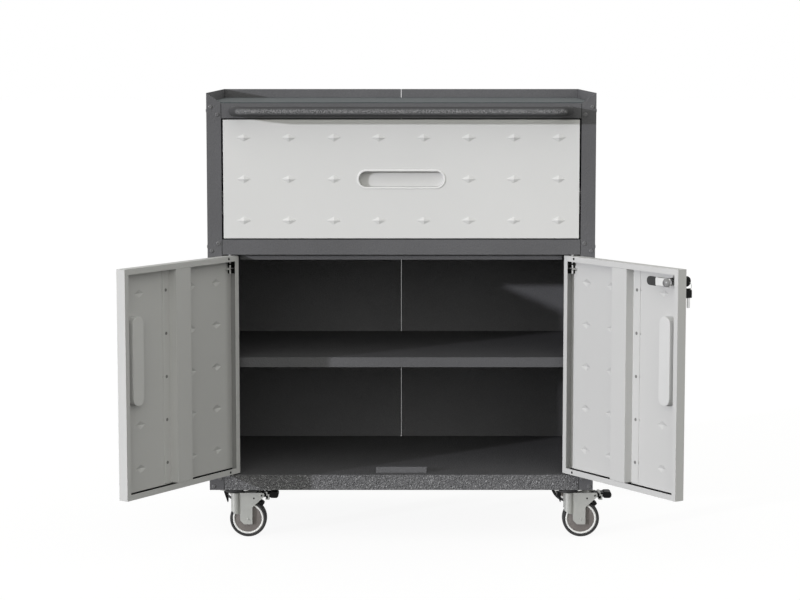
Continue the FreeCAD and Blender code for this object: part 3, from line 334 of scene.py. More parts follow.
def grip_with_painted_highlight(name, dark, highlight, front, level):
    """Dark hammered coat of a level grip, a darker copy of the body's coat that paints shade on the
    grip's top and underside, with a painted highlight of pale flecks in a band along the front: the
    band rises and falls with the height about the grip's level and ends behind a given depth."""
    band_low, band_high, band_back, fade = level - 0.0062, level + 0.0072, front + 0.012, 0.005
    paint = Finish(name, dark, roughness=0.55, specular=0.05)
    place = paint.node("ShaderNodeSeparateXYZ", {"Vector": paint.place})
    grit = paint.noise(520, detail=3, roughness=0.65)
    rising = paint.span(place.outputs["Z"], band_low, band_low + fade, 0.0, 1.0)
    falling = paint.span(place.outputs["Z"], band_high - fade, band_high, 1.0, 0.0)
    ahead = paint.span(place.outputs["Y"], band_back - 0.8 * fade, band_back, 1.0, 0.0)
    band = paint.times(paint.times(rising, falling), ahead)
    # Painted highlight: pale flecks in the band along the front, where the lamp's highlight falls.
    highlight_flecks = paint.times(band, paint.span(grit, 0.42, 0.64, 0.05, 1.0))
    return paint.finished(paint.mix(highlight_flecks, dark, highlight), paint.sway(grit, 0.62, 0.42),
                          (grit, 0.0004))


def satin_paint(name, colour, deep):
    """Light satin powder coat: fine orange peel and a faint drift of shade."""
    paint = Finish(name, colour, roughness=0.55, specular=0.15)
    peel = paint.noise(520, roughness=0.55)
    fine = paint.noise(1800)
    shade = paint.drift(paint.noise(3.5, detail=3), deep, colour)
    return paint.finished(shade, paint.sway(fine, 0.48, 0.62), (peel, 0.00012), (fine, 0.00004))


def grained_rubber(name, colour, deep):
    """Rubber mat: a fine leathery grain and a slow drift of shade."""
    rubber = Finish(name, colour, roughness=0.7, specular=0.35)
    grain = rubber.cells(620)
    shade = rubber.drift(rubber.noise(4, detail=4), deep, colour)
    return rubber.finished(shade, rubber.span(grain, 0.0, 0.8, 0.78, 0.6), (grain, 0.0003))


def plated_steel(name, colour, deep, roughness, stretch=(1, 1, 1), metallic=0.85):
    """Zinc or nickel plate: faint rolling streaks, cloudy bloom and fine pitting."""
    plate = Finish(name, colour, roughness, metallic)
    streaks = plate.noise(260, stretch=stretch)
    shade = plate.drift(plate.noise(45, detail=4, roughness=0.6), deep, colour)
    return plate.finished(shade, plate.sway(streaks, roughness - 0.06, roughness + 0.08),
                          (streaks, 0.00005))


def moulded_plastic(name, colour, deep, roughness, grain=1400, specular=0.45):
    """Moulded plastic: fine spark-eroded grain and a slow drift of shade."""
    plastic = Finish(name, colour, roughness, specular=specular)
    fine = plastic.noise(grain, roughness=0.6)
    shade = plastic.drift(plastic.noise(30, detail=3), deep, colour)
    return plastic.finished(shade, plastic.sway(fine, roughness - 0.07, roughness + 0.07),
                            (fine, 0.00004))


BODY_PAINT = hammered_paint("hammered_dark_grey", (0.106, 0.106, 0.11), (0.12, 0.12, 0.125),
                            (0.178, 0.178, 0.184))
# Partly painted glints: the coarse coat's pale flecks are hammered grain made bright to stand in
# for the glints of its pebbles in the lamp.
LIP_GLINT_PAINT = hammered_paint("hammered_base_grey_painted_glints", (0.122, 0.122, 0.126), (0.138, 0.138, 0.142),
                           (0.48, 0.48, 0.486), grain=420, relief=0.0028)
# Painted shade: the shelf's coat is a darker copy of the body's hammered coat, for the shade inside
# the cupboard.
SHELF_SHADE_PAINT = hammered_paint("hammered_shelf_painted_shade_grey", (0.092, 0.092, 0.096), (0.105, 0.105, 0.109),
                             (0.156, 0.156, 0.161))
# Painted highlight and painted shade: a band of pale flecks on a darker copy of the body's hammered
# coat.
GRIP_HIGHLIGHT_PAINT = grip_with_painted_highlight("grip_painted_highlight_grey", (0.058, 0.058, 0.06), (0.29, 0.29, 0.295),
                       (FRONT - HANDLE_REACH - HANDLE_RADIUS) * METRE, HANDLE_LEVEL * METRE)
DRAWER_PAINT = satin_paint("satin_drawer_grey", (0.645, 0.645, 0.636), (0.625, 0.626, 0.618))
# Painted shade: the doors' and tray's coat is a darker copy of the drawer's satin coat.
DOOR_SHADE_PAINT = satin_paint("satin_door_painted_shade_grey", (0.56, 0.56, 0.551), (0.543, 0.544, 0.536))
# Painted shade: a dark copy of the door coat laid down each hinge-side wall, where the wall lies in
# shade.
HINGE_SHADE_PAINT = satin_paint("satin_hinge_painted_shade_grey", (0.3, 0.3, 0.296), (0.28, 0.28, 0.276))
MAT_RUBBER = grained_rubber("worktop_rubber", (0.0485, 0.061, 0.063), (0.0437, 0.0548, 0.0578))
PULL_PLASTIC = moulded_plastic("pull_light_grey", (0.72, 0.72, 0.71), (0.7, 0.7, 0.692), 0.5,
                               specular=0.1)
# Painted shade: the cup is a darker copy of the pull's moulding, for the shade inside the recess.
CUP_SHADE_PLASTIC = moulded_plastic("cup_painted_shade_grey", (0.585, 0.585, 0.577), (0.565, 0.566, 0.558), 0.5,
                              specular=0.1)
BACK_PLASTIC = moulded_plastic("back_light_grey", (0.62, 0.62, 0.612), (0.605, 0.606, 0.598), 0.5,
                               specular=0.1)
# Painted shade: dark grey for the shaded sunk spots on the stiffener's flange.
SPOT_SHADE_PAINT = satin_paint("sunk_spot_painted_shade_grey", (0.2, 0.2, 0.195), (0.17, 0.17, 0.167))
ZINC = plated_steel("zinc_plate", (0.62, 0.62, 0.60), (0.50, 0.50, 0.49), 0.36, (0.1, 1, 1))
CASTOR_ZINC = plated_steel("castor_zinc", (0.43, 0.435, 0.412), (0.385, 0.39, 0.37), 0.45,
                           (1, 1, 0.1), metallic=0.25)
CAM_ZINC = plated_steel("cam_zinc", (0.78, 0.78, 0.77), (0.72, 0.72, 0.71), 0.4, (0.1, 1, 1),
                        metallic=0.1)
BRIGHT_STEEL = plated_steel("bright_steel", (0.66, 0.66, 0.66), (0.56, 0.56, 0.56), 0.25,
                            (1, 1, 0.15), metallic=0.95)
NUT_STEEL = plated_steel("nut_steel", (0.3, 0.3, 0.3), (0.2, 0.2, 0.2), 0.14, metallic=0.25)
CHROME = plated_steel("lock_chrome", (0.82, 0.82, 0.82), (0.74, 0.74, 0.75), 0.14, metallic=1.0)
SCREW_STEEL = moulded_plastic("dark_screw_coat", (0.15, 0.15, 0.153), (0.125, 0.125, 0.128), 0.34,
                              specular=0.4)
TYRE_RUBBER = moulded_plastic("tyre_rubber", (0.045, 0.045, 0.045), (0.035, 0.035, 0.036), 0.6,
                              grain=700, specular=0.2)
RING_PLASTIC = moulded_plastic("wheel_white", (0.82, 0.82, 0.80), (0.78, 0.78, 0.765), 0.38)
DISC_PLASTIC = moulded_plastic("wheel_taupe", (0.185, 0.168, 0.158), (0.165, 0.15, 0.142), 0.5)
# Black moulding of the pedals, keys and collars; also painted shade for the crown tab and the hinge
# cases' dark strips, cover and eyes.
BLACK_PLASTIC_AND_SHADE = moulded_plastic("pedal_black_and_painted_shade", (0.008, 0.008, 0.008), (0.005, 0.005, 0.005), 0.5,
                                specular=0.12)
# Dark rubber of the cam's rest; also painted shade on the castors' plates and swivel cups, which
# lie in the body's shade.
REST_RUBBER_AND_SHADE = moulded_plastic("rest_dark_grey_and_painted_shade", (0.055, 0.055, 0.055), (0.045, 0.045, 0.045), 0.6,
                              specular=0.2)

SLOT_FINISHES = {
    "body_paint": BODY_PAINT, "mat_rubber": MAT_RUBBER, "door_paint": DOOR_SHADE_PAINT,
    "pull_plastic": PULL_PLASTIC, "tray_paint": DOOR_SHADE_PAINT, "zinc_steel": ZINC,
    "dark_screw": SCREW_STEEL, "bright_steel": BRIGHT_STEEL, "lock_chrome": CHROME,
    "black_plastic": BLACK_PLASTIC_AND_SHADE, "castor_steel": CASTOR_ZINC, "tyre_rubber": TYRE_RUBBER,
    "wheel_plastic": RING_PLASTIC, "pedal_plastic": BLACK_PLASTIC_AND_SHADE,
}
OWN_FINISHES = {"push_handle": GRIP_HIGHLIGHT_PAINT, "shelf": SHELF_SHADE_PAINT, "drawer_front": DRAWER_PAINT,
                # Painted shade: the castors' plates take the dark rubber for the shade under the
                # body.
                **{f"{castor}_castor_plate": REST_RUBBER_AND_SHADE for castor in CASTORS}}


def soften(solid, width):
    """Rounds a solid's edges: its loose triangles are welded, flat ones joined, and sharp edges
    bevelled."""
    solid.modifiers.new("weld", "WELD").merge_threshold = WELD_REACH
    flat = solid.modifiers.new("flat", "DECIMATE")
    flat.decimate_type, flat.angle_limit = "DISSOLVE", math.radians(0.6)
    bevel(solid, width, SOLID_CREASE)
    solid.modifiers.new("normals", "WEIGHTED_NORMAL").keep_sharp = True


def dress_solids():
    """Gives every solid its own finish or that of its slot, and softens its edges."""
    for entry in frame["record"]["subparts"]:
        name = entry["node"]
        solid = NODES[name]
        solid.data.materials.clear()
        solid.data.materials.append(OWN_FINISHES.get(name, SLOT_FINISHES[entry["material_slot"]]))
        soften(solid, MAT_EDGE if name == "worktop_mat" else SHEET_EDGE)


# Pulls

CUP_STRAIGHT, CUP_RADIUS, CUP_DEPTH, CUP_WALL = 137.5, 15.25, 15.0, 1.0
BEAD_WIDTH, BEAD_RISE = 4.0, 1.6
DRAWER_PULL_LEVEL, DOOR_PULL_LEVEL, DOOR_PULL_PLACE = 730, 400, 297.5


def pull_rim():
    """Rim of a recessed pull about its own middle: a flat-topped bead with round edges carried
    round the slot."""
    edge = 1.1
    profile = np.concatenate([
        [(0, 1.0)],
        arc((edge, -BEAD_RISE + edge), (edge, -edge), 180, 90, 5),
        arc((BEAD_WIDTH - edge, -BEAD_RISE + edge), (edge, -edge), 90, 0, 5),
        [(BEAD_WIDTH, 0), (CUP_WALL, 0), (CUP_WALL, 1.0), (0, 1.0)],
    ])
    return stadium(CUP_STRAIGHT, CUP_RADIUS, profile)


def pull_cup():
    """Cup of a recessed pull: from the middle of its floor out through a fillet, up the wall to the
    rim, and down the outside to the middle again."""
    fillet, lip = 2.0, 0.9
    outer = fillet + CUP_WALL
    profile = np.concatenate([
        [(-CUP_RADIUS, CUP_DEPTH)],
        arc((-fillet, CUP_DEPTH - fillet), (fillet, fillet), 90, 0, 7),
        [(0, lip), (CUP_WALL, lip)],
        arc((-fillet, CUP_DEPTH - fillet), (outer, outer), 0, 90, 7),
        [(-CUP_RADIUS, CUP_DEPTH + CUP_WALL)],
    ])
    return stadium(CUP_STRAIGHT, CUP_RADIUS, profile)


def pull_back():
    """Squared back of an upright pull: boxes with round corners, from the middle of the back over
    its edge, down the outside and up the inside to the middle again."""
    half, run, corner = 15.8, 85.0, 14.0
    steps = ((0.7, 16.6), (0.0, 15.9), (0.0, 1.2), (0.9, 1.2), (0.9, 15.7))
    rings = [at_depth(rounded(-half + inset, half - inset, -run + inset, run - inset,
                              corner - inset), depth) for inset, depth in steps]
    return capped(np.concatenate(rings), len(rings[0]))


def make_pulls():
    """The drawer's level pull and the doors' upright ones with their squared backs."""
    level = [pull_rim(), pull_cup()]
    rim, cup = [shifted(shape, (0, FRONT, DRAWER_PULL_LEVEL)) for shape in level]
    lay("drawer_pull_moulding", [rim], "drawer", PULL_PLASTIC, ["drawer_pull"])
    lay("drawer_pull_cup", [cup], "drawer", CUP_SHADE_PLASTIC)
    upright = [swapped(shape, (2, 1, 0)) for shape in level] + [pull_back()]
    for hand, side in HANDS:
        door, place = f"{hand}_door", (-side * DOOR_PULL_PLACE, -HINGE_SETBACK, DOOR_PULL_LEVEL)
        rim, cup, back = [moved(shifted(shape, place), side * OPEN_TURN,
                                (side * HINGE_X, HINGE_Y, 0)) for shape in upright]
        lay(f"{door}_pull_moulding", [rim], door, PULL_PLASTIC, [f"{door}_pull"])
        lay(f"{door}_pull_cup", [cup], door, CUP_SHADE_PLASTIC)
        lay(f"{door}_pull_back", [back], door, BACK_PLASTIC)


# Push handle

def make_push_handle():
    """A round tube carried along two legs, two quarter bends and the grip."""
    half, bend, root = 328.0, 34.0, FRONT - 0.01
    outer = FRONT - HANDLE_REACH
    left = arc((-half + bend, outer + bend), (bend, bend), 180, 270, 16)
    right = arc((half - bend, outer + bend), (bend, bend), 270, 360, 16)
    across = np.linspace(-half + bend, half - bend, 40)[1:-1]
    grip = np.column_stack([across, np.full(len(across), outer)])
    flat = np.concatenate([[(-half, root)], left, grip, right, [(half, root)]])
    line = np.column_stack([flat, np.full(len(flat), HANDLE_LEVEL)])
    section = arc((0, 0), (HANDLE_RADIUS, HANDLE_RADIUS), 0, 360, 33)[:-1]
    lay("push_handle_tube", [carried(section, line)], "cabinet", GRIP_HIGHLIGHT_PAINT,
        ["push_handle"])


# Screws, by distance from the middle and level on the posts, and by depth and level on the sides

POST_SPOTS = [(377, 872.5), (363.5, 857.5), (363.5, 602.5), (377, 587.5), (363.5, 128.5),
              (377, 112.5)]
SIDE_SPOTS = [(-214, 595), (214, 595), (-214, 865), (214, 865)]


def screw_head():
    """A pan head seen along Z: a dome over rings and spokes, with a cross-shaped recess pressed
    into it and a flat underside."""
    radius, rise = 4.2, 2.2
    depth, slot, reach, slope, run_out = 0.9, 0.5, 2.2, 0.5, 0.6
    rings = np.concatenate([np.linspace(0, 2.8, 15), [3.3, 3.7, 4.0, 4.15, radius]])
    spokes = np.linspace(0, 2 * np.pi, 48, endpoint=False)
    ring, spoke = np.meshgrid(rings, spokes, indexing="ij")
    x, y = ring * np.cos(spoke), ring * np.sin(spoke)
    dome = rise * (1 - (ring / radius) ** 4) ** 0.5
    arm = np.minimum(np.abs(x), np.abs(y))
    press = (np.clip((slot + slope / 2 - arm) / slope, 0, 1)
             * np.clip((reach - ring) / run_out, 0, 1))
    points = np.stack([x, y, dome - depth * press], axis=-1).reshape(-1, 3)
    points = np.concatenate([points, np.zeros((len(spokes), 3))])
    return points, ring_faces(len(rings) + 1, len(spokes))


def make_screws():
    """Every screw head on the posts and the side sheets."""
    head = screw_head()
    ahead = swapped(head, (0, 2, 1), (1, -1, 1))
    heads = [shifted(ahead, (side * across, FRONT, level))
             for hand, side in HANDS for across, level in POST_SPOTS]
    for hand, side in HANDS:
        sideways = swapped(head, (2, 0, 1), (side, 1, 1))
        heads += [shifted(sideways, (side * SIDE, depth, level)) for depth, level in SIDE_SPOTS]
    lay("frame_screw_heads", heads, "cabinet", SCREW_STEEL, ["frame_screws"],
        sharp=50)


# Castors, given with the swivel axis at the origin and the wheel trailing along X

LEG_FACE, CROWN_TOP, DISC_RADIUS = 16.5, 91.5, 27.3
PEDAL_PIVOT = (54.8, 86.2)
SHOE_INNER, SHOE_OUTER = 38.4, 45.0


def both_sides(half):
    """A half profile from the middle plane outwards, followed by its mirror image."""
    half = np.asarray(half, float)
    return np.concatenate([half, half[::-1] * (1, -1)])


def tyre_profile():
    """Tread with a slight crown, rounded shoulders, a sidewall step and the seat on the rim."""
    edge = WHEEL_WIDTH / 2
    tread = [(WHEEL_RADIUS, 0), (WHEEL_RADIUS - 0.05, 4)]
    shoulder = arc((WHEEL_RADIUS - 3.6, edge - 3.4), (3.4, 3.3), 0, 90, 8)
    wall = [(33.4, edge - 0.15), (33.2, edge - 0.7), (32.4, edge - 0.8), (32.2, edge - 1.2),
            (RIM_RADIUS, edge - 1.6)]
    return both_sides(np.concatenate([tread, shoulder, wall]))


def ring_profile():
    """Pale ring round the disc: a rounded bead whose root lies under the tyre's edge."""
    shoulder = 9
    bead = arc((29.4, 9.6), (2.1, 1.9), 0, 180, 12)
    return both_sides(np.concatenate([[(RIM_RADIUS, 0), (RIM_RADIUS, shoulder)], bead,
                                      [(DISC_RADIUS, shoulder), (DISC_RADIUS, 0)]]))


def disc_profile():
    """Dished disc with fine turned steps and a hub that runs close to the fork."""
    bore, count = 4.1, 14
    radii = np.repeat(np.linspace(26.9, 11.0, count), 2)
    face = np.column_stack([radii, np.tile((9.4, 9.15), count)])
    hub = arc((8.5, 12.0), (1.2, 1.2), 0, 90, 5)
    return both_sides(np.concatenate([[(DISC_RADIUS, 0), (DISC_RADIUS, 9.0)], face, [(9.9, 9.2)],
                                      hub, [(bore, 13.2), (bore, 0)]]))


def fork_sheet(braked):
    """Pressed fork: a sheet whose line seen from above runs along a leg, round a half-round rib,
    across the front and back the same way. The section is a strip between a lower and an upper
    edge, half a wall to each side of the line."""
    wall, half, rib, rib_x, rib_y = 3.0, 15.0, 7.2, 1.4, 13.8
    if braked:
        tail = [(60.0, 86.0, 87.6), (59.7, 84.2, 89.2), (58.8, 82.4, 90.6), (57.0, 80.6, 91.4),
                (54.5, 78.6, CROWN_TOP)]
    else:
        tail = [(45.0, 72.0, CROWN_TOP)]
    shin = [(36.2, 62.2), (35.9, 61.4), (35.7, 27.0), (35.3, 26.7), (18.5, 26.7), (10.8, 35.0),
            (10.4, 46.4), (9.4, 47.4)]
    leg = np.array(tail + [(x, foot, CROWN_TOP) for x, foot in shin])
    bend = arc((rib_x, rib_y), (rib, rib), 12, 180, 22)
    bend_foot = np.interp(bend[:, 0], [-7.3, 0.7, 9.4], [57.0, 50.0, 47.5])
    flat = np.concatenate([np.column_stack([leg[:, 0], np.full(len(leg), half)]), bend,
                           [(rib_x - rib, 6.0)]])
    foot = np.concatenate([leg[:, 1], bend_foot, [60.0]])
    head = np.concatenate([leg[:, 2], np.full(len(bend) + 1, CROWN_TOP)])
    flat = both_sides(flat)
    foot, head = (np.concatenate([level, level[::-1]]) for level in (foot, head))
    ahead = unit(np.gradient(flat, axis=0))
    across = np.column_stack([ahead[:, 1], -ahead[:, 0]]) * wall / 2
    strip = [np.column_stack([flat + across, foot]), np.column_stack([flat + across, head]),
             np.column_stack([flat - across, head]), np.column_stack([flat - across, foot])]
    return capped(np.stack(strip, axis=1).reshape(-1, 3), len(strip))


def crown_plate():
    """Flat top of the fork between its legs: a rounded box carried upwards."""
    return swapped(slab(rounded(-5.6, 44.0, -14.8, 14.8, 4.0), 88.6, 91.3), (0, 2, 1))


def kingpin():
    """Kingpin and its head under the crown: a profile carried round the swivel axis."""
    return turned([(0, 88.0), (8.0, 88.0), (8.6, 88.6), (8.6, 91.4), (5.0, 91.4), (5.0, 104.2),
                   (4.4, 104.7), (0, 104.7)], 40)


def swivel_cup():
    """Pressed cup under the race, given dark rubber as painted shade under the body: a profile
    carried round the swivel axis.
    """
    return turned([(6.0, 91.2), (17.5, 91.2), (19.2, 91.7), (20.2, 92.6), (20.4, 93.65),
                   (6.0, 93.65)], 48, True)


def stud(profile, x, z, face):
    """A small turned piece on a leg's outer face, which stands away from the middle plane."""
    points, faces = turned_along_y(profile, 24)
    return points * (1, math.copysign(1, face), 1) + (x, face, z), faces


def fork_rivets(braked):
    """Riveted axle ends, and on a braked fork the rings round the pedal's pivot."""
    rivet = [(0, 1.1), (1.4, 0.95), (2.3, 0.5), (2.6, 0), (2.6, -1.0), (0, -1.0)]
    ring = [(0, 0.2), (1.2, 0.2), (1.5, 1.1), (2.9, 1.1), (3.2, 0.6), (3.2, -1.0), (0, -1.0)]
    spots = [(rivet, WHEEL_TRAIL, WHEEL_RADIUS)] + ([(ring, *PEDAL_PIVOT)] if braked else [])
    return [stud(profile, x, z, side * LEG_FACE) for profile, x, z in spots for hand, side in HANDS]


def fork_eyes():
    """Dark pressed eyes in a braked fork's ears and in the rings round the pedal's pivot."""
    eye = [(0, 0.25), (1.6, 0.25), (1.8, 0.15), (1.8, -0.6), (0, -0.6)]
    spots = [(38.9, 80.4, LEG_FACE), (*PEDAL_PIVOT, LEG_FACE + 0.9)]
    return [stud(eye, x, z, side * face) for x, z, face in spots for hand, side in HANDS]


def crown_shade_tab():
    """Black tapered tab under the front of the crown, a dark sheet that paints the shade under the
    crown: an outline carried across.
    """
    outline = [(-22.6, 91.4), (-13.4, 91.4), (-13.8, 71.0), (-14.6, 69.6), (-15.6, 71.0)]
    return slab(outline, -5.0, 5.0)


def tyre_arc(radius, start, end):
    """Points round the axle, seen from the side."""
    return arc((WHEEL_TRAIL, WHEEL_RADIUS), (radius, radius), start, end, 12)


def pedal_shape():
    """Brake pedal: a bar from the pivot, a thick rounded tread, and a shoe that follows the tyre
    and clears it when the pedal is down: a ring's sector between two radii about the axle, cut
    short below."""
    hub = arc(PEDAL_PIVOT, (5.0, 4.6), 100, 260, 12)
    bar = np.concatenate([hub, [(72.0, 83.0), (76.0, 83.0), (76.0, 91.2), (72.0, 91.6)]])
    tread = rounded(70.5, 88.6, 80.6, 93.2, 5.2, 9)
    shoe = np.concatenate([tyre_arc(SHOE_OUTER, 52, 67), tyre_arc(SHOE_INNER, 67, 57.5),
                           [(51.2, 69.4)]])
    stem = [(45.5, 77.0), (51.0, 70.0), (58.5, 84.0), (51.0, 86.0)]
    return [slab(outline, -half, half)
            for outline, half in ((bar, 13.0), (tread, 15.0), (shoe, 11.0), (stem, 8.0))]


def brake_guard():
    """Wedge over the tyre below the shoe, with a cheek up to each ear: a ring's sector about the
    axle."""
    wedge = np.concatenate([tyre_arc(SHOE_OUTER, 43, 51.6), tyre_arc(SHOE_INNER, 51.6, 43)])
    cheek = [(55.0, 70.8), (49.4, 76.4), (45.6, 73.0), (50.6, 67.4), (53.0, 66.6)]
    return [slab(wedge, -12.0, 12.0), slab(cheek, 11.4, 13.55), slab(cheek, -13.55, -11.4)]


def pedal_clip():
    """Pressed clip across the pedal's bar: a hooked strip, carried across the pedal."""
    hook = [(61.0, 92.0), (63.6, 92.0), (64.4, 85.4), (67.6, 85.4), (67.6, 79.2), (62.4, 79.0),
            (62.4, 76.6), (70.2, 76.6), (70.2, 88.0), (66.6, 88.0), (66.0, 93.0), (61.0, 93.0)]
    return slab(hook, -13.8, 13.8)


# The rows below hold a piece's name, surfaces, body, slot and finish, the solid that it replaces
# and the width of its rounded edges

def wheel_pieces():
    """Rows for the tyre, ring and disc: closed (radius, across) profiles turned about the axle."""
    rows = [("tyre_moulding", tyre_profile(), "tyre_rubber", TYRE_RUBBER, "castor_tyre"),
            ("wheel_ring", ring_profile(), "wheel_plastic", RING_PLASTIC, "castor_core"),
            ("wheel_disc", disc_profile(), "wheel_plastic", DISC_PLASTIC, None)]
    axle = (WHEEL_TRAIL, 0, WHEEL_RADIUS)
    return [(piece, [shifted(turned_along_y(profile, 72, True), axle)], "wheel", slot, finish,
             solid, 0) for piece, profile, slot, finish, solid in rows]


def fork_pieces(braked):
    """Rows for the fork, its cup and axle ends and, on a braked castor, the brake."""
    rows = [
        ("fork_pressing", [fork_sheet(braked), crown_plate(), kingpin()], "swivel",
         "castor_steel", CASTOR_ZINC, "castor_fork", 0.5),
        ("swivel_cup", [swivel_cup()], "swivel", "castor_steel", REST_RUBBER_AND_SHADE, None, 0),
        ("axle_rivets", fork_rivets(braked), "swivel", "castor_steel", CASTOR_ZINC,
         "castor_axle", 0),
    ]
    if braked:
        rows += [
            ("fork_eyes", fork_eyes(), "swivel", "pedal_plastic", BLACK_PLASTIC_AND_SHADE, None, 0),
            ("crown_shade_tab", [crown_shade_tab()], "swivel", "pedal_plastic", BLACK_PLASTIC_AND_SHADE, None, 0.6),
            ("brake_guard", brake_guard(), "swivel", "pedal_plastic", BLACK_PLASTIC_AND_SHADE, None, 0.3),
            ("pedal_moulding", pedal_shape(), "brake", "pedal_plastic", BLACK_PLASTIC_AND_SHADE,
             "brake_pedal", 0.8),
            ("pedal_clip", [pedal_clip()], "brake", "castor_steel", CASTOR_ZINC, None, 0.3),
        ]
    return rows


def make_castors():
    """Every castor's pieces, laid at its swivel and turned with it."""
    for castor, (x, y, yaw, braked) in CASTORS.items():
        rows = wheel_pieces() + fork_pieces(braked)
        for piece, surfaces, body, slot, finish, solid, edge in rows:
            placed = [moved(surface, math.radians(yaw), (x, y, 0)) for surface in surfaces]
            lay(f"{castor}_{piece}", placed, f"{castor}_{body}", finish,
                [f"{castor}_{solid}"] if solid else (), edge)


# Seams

JOINT_PLACE, JOINT_HALF = 355.9, 0.55
JOINT_LEVELS = [(850.6, 879.4), (580.6, 609.4), (105.6, 135.4)]
BEAD_LOW, BEAD_HIGH = 137.0, 840.0
LIP_HALF, LIP_LOW, LIP_HIGH = 355.3, 105.4, 135.4


def make_seams():
    """Dark joints where the rails meet the posts: each is a flat strip a tenth of a millimetre
    proud. A bead closes most of the gap between the two back sheets inside the cupboard, and a
    coarse coat lies on the base's lip, whose pale flecks are hammered grain made bright to paint
    the glints of its pebbles."""
    joints = [side * JOINT_PLACE for hand, side in HANDS]
    root = FRONT + 0.1
    strips = [slab(rounded(joint - JOINT_HALF, joint + JOINT_HALF, low, high, 0.3, 3),
                   FRONT - 0.12, root) for joint in joints for low, high in JOINT_LEVELS]
    lay("frame_joints", strips, "cabinet", BLACK_PLASTIC_AND_SHADE)
    bead = slab(rounded(-0.6, 0.2, BEAD_LOW, BEAD_HIGH, 0.2, 3), BACK - 1.9, BACK - 1.1)
    lay("back_bead", [bead], "cabinet", BODY_PAINT)
    coat = slab(rounded(-LIP_HALF, LIP_HALF, LIP_LOW, LIP_HIGH, 0.3, 3), FRONT - 0.1, root)
    lay("base_lip_coat", [coat], "cabinet", LIP_GLINT_PAINT)


# Door fittings, given as on a closed door: x from the hinge axis to the free edge, y from the axis
# towards the inside

SKIN = -HINGE_SETBACK
INNER_SKIN = SKIN + 1.0
FLANGE_PLACE, FLANGE_ROWS = 196.7, (190, 274, 358, 442, 526)
LOCK_PLACE, LOCK_LEVEL, CAM_PLANE = 315.5, 551.5, SKIN + 24.0
CASE_LOW, CASE_HIGH, CASE_EDGE = 541.0, 566.3, -10.4


def at_door(surfaces, side):
    """Surfaces mirrored for the door's hand, swung open and set on its hinge axis."""
    return [moved((points * (-side, 1, 1), faces), side * OPEN_TURN, (side * HINGE_X, HINGE_Y, 0))
            for points, faces in surfaces]


def facing(profile, x, y, z, steps=32):
    """A turned piece that stands on the plane of a given y and points to the inside."""
    return shifted(turned_along_y(profile, steps), (x, y, z))


def make_hinge_cases():
    """Black angle in the corner behind each top bolt, and painted shade: dark eyes where the lips
    above and below have holes, a dark strip in the bottom fold, a dark edge on the bolt guide and a
    grey strip down the hinge-side wall. These are rounded outlines carried a little way, and turned
    eyes."""
    base, guide_front = SKIN + 1.1, 8.0
    wall_leg = upright_slab(rounded(base, 10.9, CASE_LOW, CASE_HIGH, 2.0), CASE_EDGE, -8.9)
    skin_leg = slab(rounded(CASE_EDGE, -0.6, CASE_LOW, CASE_HIGH, 1.5), base, SKIN + 2.6)
    # Painted shade: a dark strip where the skin lies in shade behind the bottom lip.
    fold = slab(rounded(-9.4, 337.0, 140.2, 147.3, 0.3, 3), SKIN + 1.05, SKIN + 1.5)
    # Painted shade: a dark cover on the bolt guide, which lies in shade.
    guide_root = slab(rounded(CASE_EDGE, -5.2, 549.0, 553.2, 0.4, 3), base, guide_front)
    guide_edge = slab(rounded(-5.3, 7.6, 549.1, 552.4, 0.4, 3), 7.4, guide_front)
    eye = [(0, 0.2), (2.4, 0.2), (2.7, 0.0), (2.7, -0.8), (0, -0.8)]
    # Painted shade: dark eyes for the holes in the top and bottom lips.
    eyes = [facing(eye, 20.0, SKIN + 20.0, level, 20) for level in (572.8, 143.5)]
    case = [wall_leg, skin_leg, fold, guide_root, guide_edge, *eyes]
    # Painted shade: a grey strip down the hinge-side wall, where the wall lies in shade under its
    # lip.
    strip = upright_slab(rounded(SKIN + 1.2, 11.2, 140.0, 540.8, 0.3, 3), -10.45, -10.1)
    for hand, side in HANDS:
        lay(f"{hand}_hinge_case", at_door(case, side), f"{hand}_door",
            BLACK_PLASTIC_AND_SHADE, edge=0.3)
        lay(f"{hand}_hinge_painted_shade_strip", at_door([strip], side), f"{hand}_door",
            HINGE_SHADE_PAINT)


def make_hinge_bolts():
    """Sprung top bolts: a stepped pin turned about the hinge axis, a dark collar and the finger
    lever."""
    pin = [(0, 541.0), (1.3, 541.0), (1.7, 541.5), (1.7, 565.0), (2.5, 566.0), (2.5, 584.2),
           (1.8, 585.0), (0, 585.0)]
    ring = [(1.4, 559.0), (4.1, 559.0), (4.5, 559.4), (4.5, 561.6), (4.1, 562.0), (1.4, 562.0)]
    finger = [(0, 0.5), (1.2, 0.5), (1.2, 8.6), (0.8, 9.0), (0, 9.0)]
    collar = [turned(ring, 24, True), facing(finger, 0, 0, 560.5, 16)]
    for hand, side in HANDS:
        lay(f"{hand}_bolt_pin", at_door([turned(pin, 24)], side), f"{hand}_bolt",
            CAM_ZINC, [f"{hand}_hinge_bolt"])
        lay(f"{hand}_bolt_collar", at_door(collar, side), f"{hand}_bolt",
            BLACK_PLASTIC_AND_SHADE)


def make_flange_rivets():
    """Small sunk rivets along the stiffener's flange, dark grey as painted shade of the sunk spots:
    a ring with a dished middle.
    """
    rivet = [(0, 0.1), (1.5, 0.15), (2.3, 0.6), (2.9, 0.5), (3.3, 0.0), (3.3, -0.5), (0, -0.5)]
    spots = [facing(rivet, FLANGE_PLACE, SKIN + 2.0, level, 20) for level in FLANGE_ROWS]
    for hand, side in HANDS:
        lay(f"{hand}_flange_rivets", at_door(spots, side), f"{hand}_door",
            SPOT_SHADE_PAINT)


